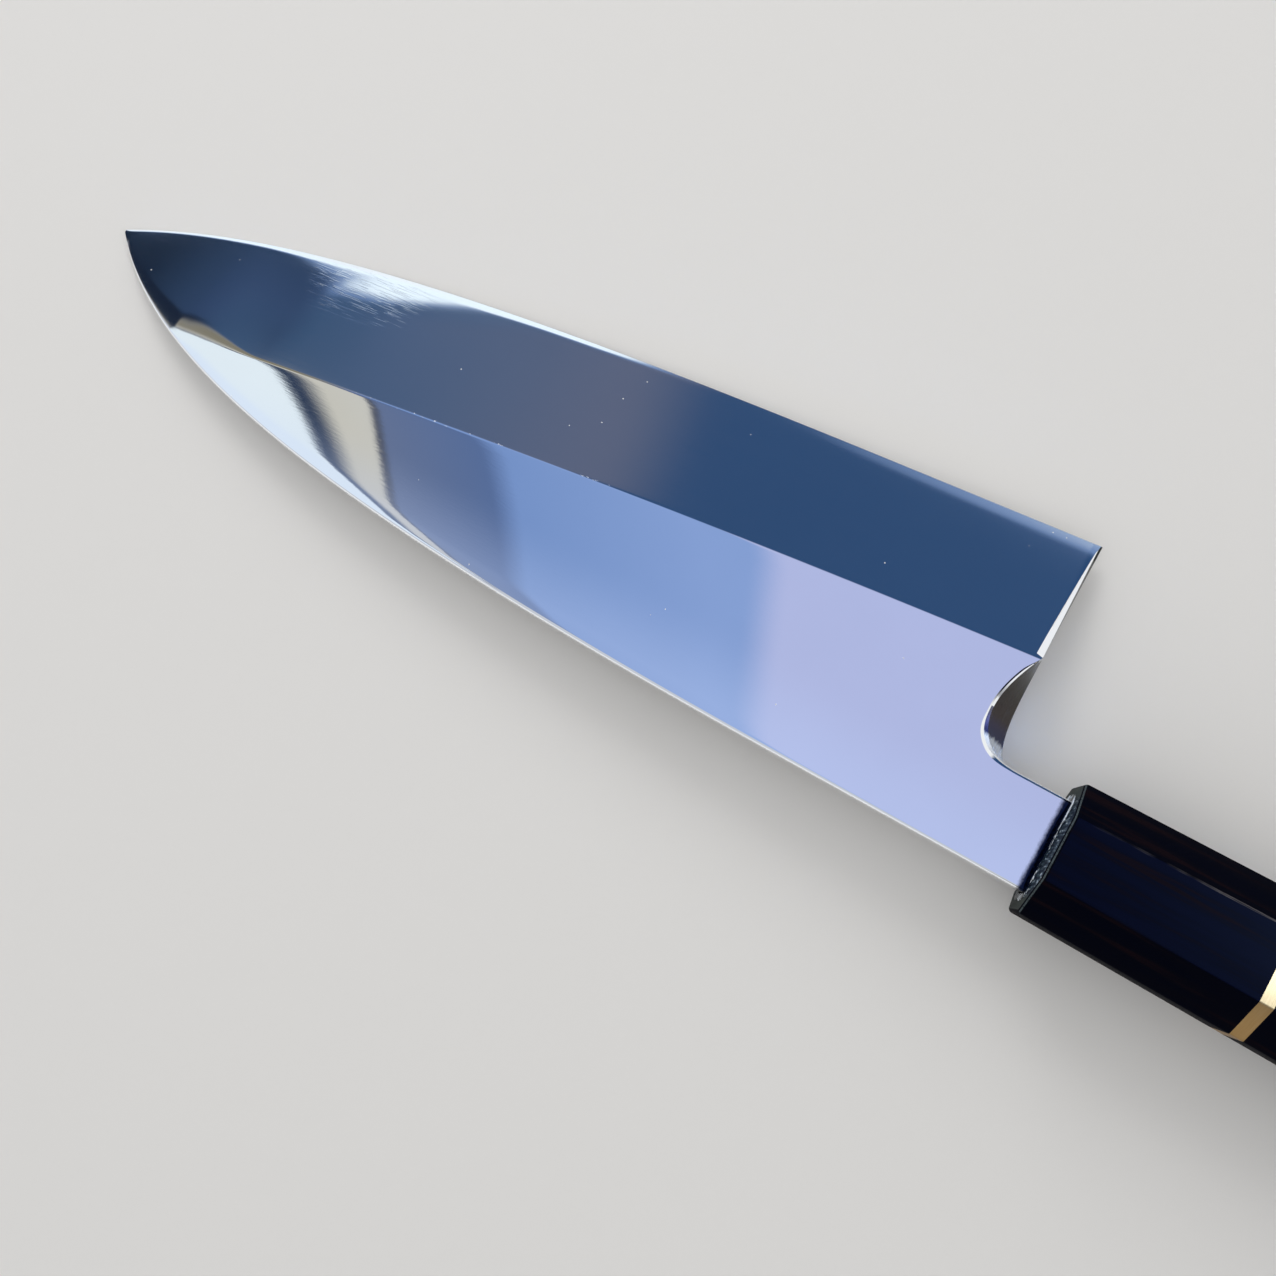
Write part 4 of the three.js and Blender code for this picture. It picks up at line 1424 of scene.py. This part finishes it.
colour = blend(tree, film, blend(tree, over_neck, END_GRAIN, DARK_GLUE), FILM)
# Pale flakes: painted glints.
wire(tree, blend(tree, flakes, colour, FLAKE_GLINT), shader, "Base Color")
wire(tree, END_SHINE, shader, "Specular IOR Level")
wire(tree, between(tree, film, *END_ROUGH), shader, "Roughness")
relief(tree, shader, smear, strength=0.3, distance=0.1)
collar.data.materials.append(end_grain)
for face in collar.data.polygons:
    face.material_index = int(face.normal.x < -FRONT_ON and face.center.x < FRONT_DEEP * MM)
print("end grain faces:", sum(face.material_index for face in collar.data.polygons))

# %% [markdown]
# ### Brass
# The ring is brass that was sanded with the stick, so fine lines run round it. A mirror of brass would be
# far too bright. The stone's marks, turned short along X and long across it, make a satin one.

# %% Brass of the ring
BRASS, PALE_BRASS = (0.270, 0.155, 0.052, 1), (0.372, 0.232, 0.092, 1)
BRASS_ROUGH = (0.34, 0.54)
brass, tree, shader, place = finish_named("satin_brass")
sanded = placed(tree, marks, Place=place, Length=0.16, Width=4.0, Turn=0.0)["Lines"]
shader.inputs["Metallic"].default_value = 1.0
wire(tree, blend(tree, sanded, BRASS, PALE_BRASS), shader, "Base Color")
wire(tree, between(tree, sanded, *BRASS_ROUGH), shader, "Roughness")
relief(tree, shader, sanded, strength=0.15, distance=0.02)
ring.data.materials.append(brass)
print("brass on:", ring.name)

# %% [markdown]
# ### Glue of the bead
# The cured glue is dark and a little glossy. Its pale specks are painted glints, where the lumpy glue
# would mirror the bright sky. Clouds of noise at two sizes are added, so that the specks come in patches,
# and only the highest part shows.

# %% Speckled glue
GLUE, MILKY_GLUE, PALE_GLINT = (0.004, 0.007, 0.014, 1), (0.016, 0.031, 0.042, 1), (0.72, 0.77, 0.82, 1)
CRUMB_SHAPE, PATCH_SHARE = (1.0, 0.35, 1.0), 0.9
SPECKS_FROM, MILKY_FROM, GLUE_SHINE, GLUE_ROUGH = (0.965, 1.02), (0.40, 0.60), 0.12, (0.15, 0.45)
seal, tree, shader, place = finish_named("speckled_glue")
patches = noise_at(tree, place, scale=0.22, detail=1.0)
crumbs = noise_at(tree, stretched(tree, place, CRUMB_SHAPE), scale=1.9, detail=4.0, rough=0.7)
specks = fade(tree, scaled(tree, patches, PATCH_SHARE, crumbs), *SPECKS_FROM)
milky = blend(tree, fade(tree, crumbs, *MILKY_FROM), GLUE, MILKY_GLUE)
# Pale specks: painted glints.
wire(tree, blend(tree, specks, milky, PALE_GLINT), shader, "Base Color")
wire(tree, GLUE_SHINE, shader, "Specular IOR Level")
wire(tree, between(tree, specks, *GLUE_ROUGH), shader, "Roughness")
ripples = noise_at(tree, place, scale=1.8, detail=3.0, rough=0.6)
relief(tree, shader, ripples, strength=0.5, distance=0.2)
bead.data.materials.append(seal)
print("glue on:", bead.name)

# %% [markdown]
# ### Inside the handle
# A pale dowel joins the pieces, and adhesive fills the slot round the tang. Nothing of them is seen on
# the whole knife, so their CAD shapes are kept as they are and only get a finish.

# %% Dowel and bedding
DOWEL_WOOD, PALE_WOOD = (0.52, 0.36, 0.20, 1), (0.72, 0.56, 0.36, 1)
ADHESIVE, PALE_ADHESIVE = (0.10, 0.085, 0.07, 1), (0.26, 0.22, 0.18, 1)


def inner_finish(node, name, pattern, colours, rough):
    """A plain finish for a CAD node, from a pattern that makes its colour, its roughness and its relief."""
    material, tree, shader, place = finish_named(name)
    tone, height = pattern(tree, place)
    wire(tree, blend(tree, tone, *colours), shader, "Base Color")
    wire(tree, between(tree, tone, *rough), shader, "Roughness")
    relief(tree, shader, height, strength=0.3, distance=0.1)
    frame["nodes"][node].data.materials.clear()
    frame["nodes"][node].data.materials.append(material)


def dowel_pattern(tree, place):
    wood = placed(tree, grain, Place=place, Length=33.0, Width=1.4)
    return wood["Streaks"], wood["Pores"]


def adhesive_pattern(tree, place):
    clumps = noise_at(tree, place, scale=0.8, detail=4.0, rough=0.6)
    return clumps, clumps


inner_finish("core_dowel", "dowel_hardwood", dowel_pattern, (DOWEL_WOOD, PALE_WOOD), (0.55, 0.75))
inner_finish("tang_bedding", "bedding_adhesive", adhesive_pattern, (ADHESIVE, PALE_ADHESIVE), (0.35, 0.65))
print("finishes:", sorted(m.name for m in bpy.data.materials))

# %% [markdown]
# ## Lay the knife down
# Each finished piece is turned into its place, takes over from its CAD node and rides on the knife's one
# body. Parenting to an empty would place them too, but a shared piece carries its place in its own mesh.

# %% Place the pieces
PLACES = ((blade, "blade", "polished_steel"), (collar, "ferrule", "ferrule_wood"),
          (ring, "brass_ring", "brass"), (grip, "handle_body", "handle_wood"),
          (bead, "tang_seal", "seal_glue"))
for piece, node, slot in PLACES:
    only(piece)
    piece.matrix_world = KNIFE
    bpy.ops.object.transform_apply(location=True, rotation=True, scale=True)
    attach(piece, "root")
    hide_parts(node)
print("placed:", [piece.name for piece, node, slot in PLACES])

# %% [markdown]
# ## The view
# The plain Standard view shows the colours as they are.

# %% Set the view
bpy.context.scene.view_settings.view_transform = "Standard"
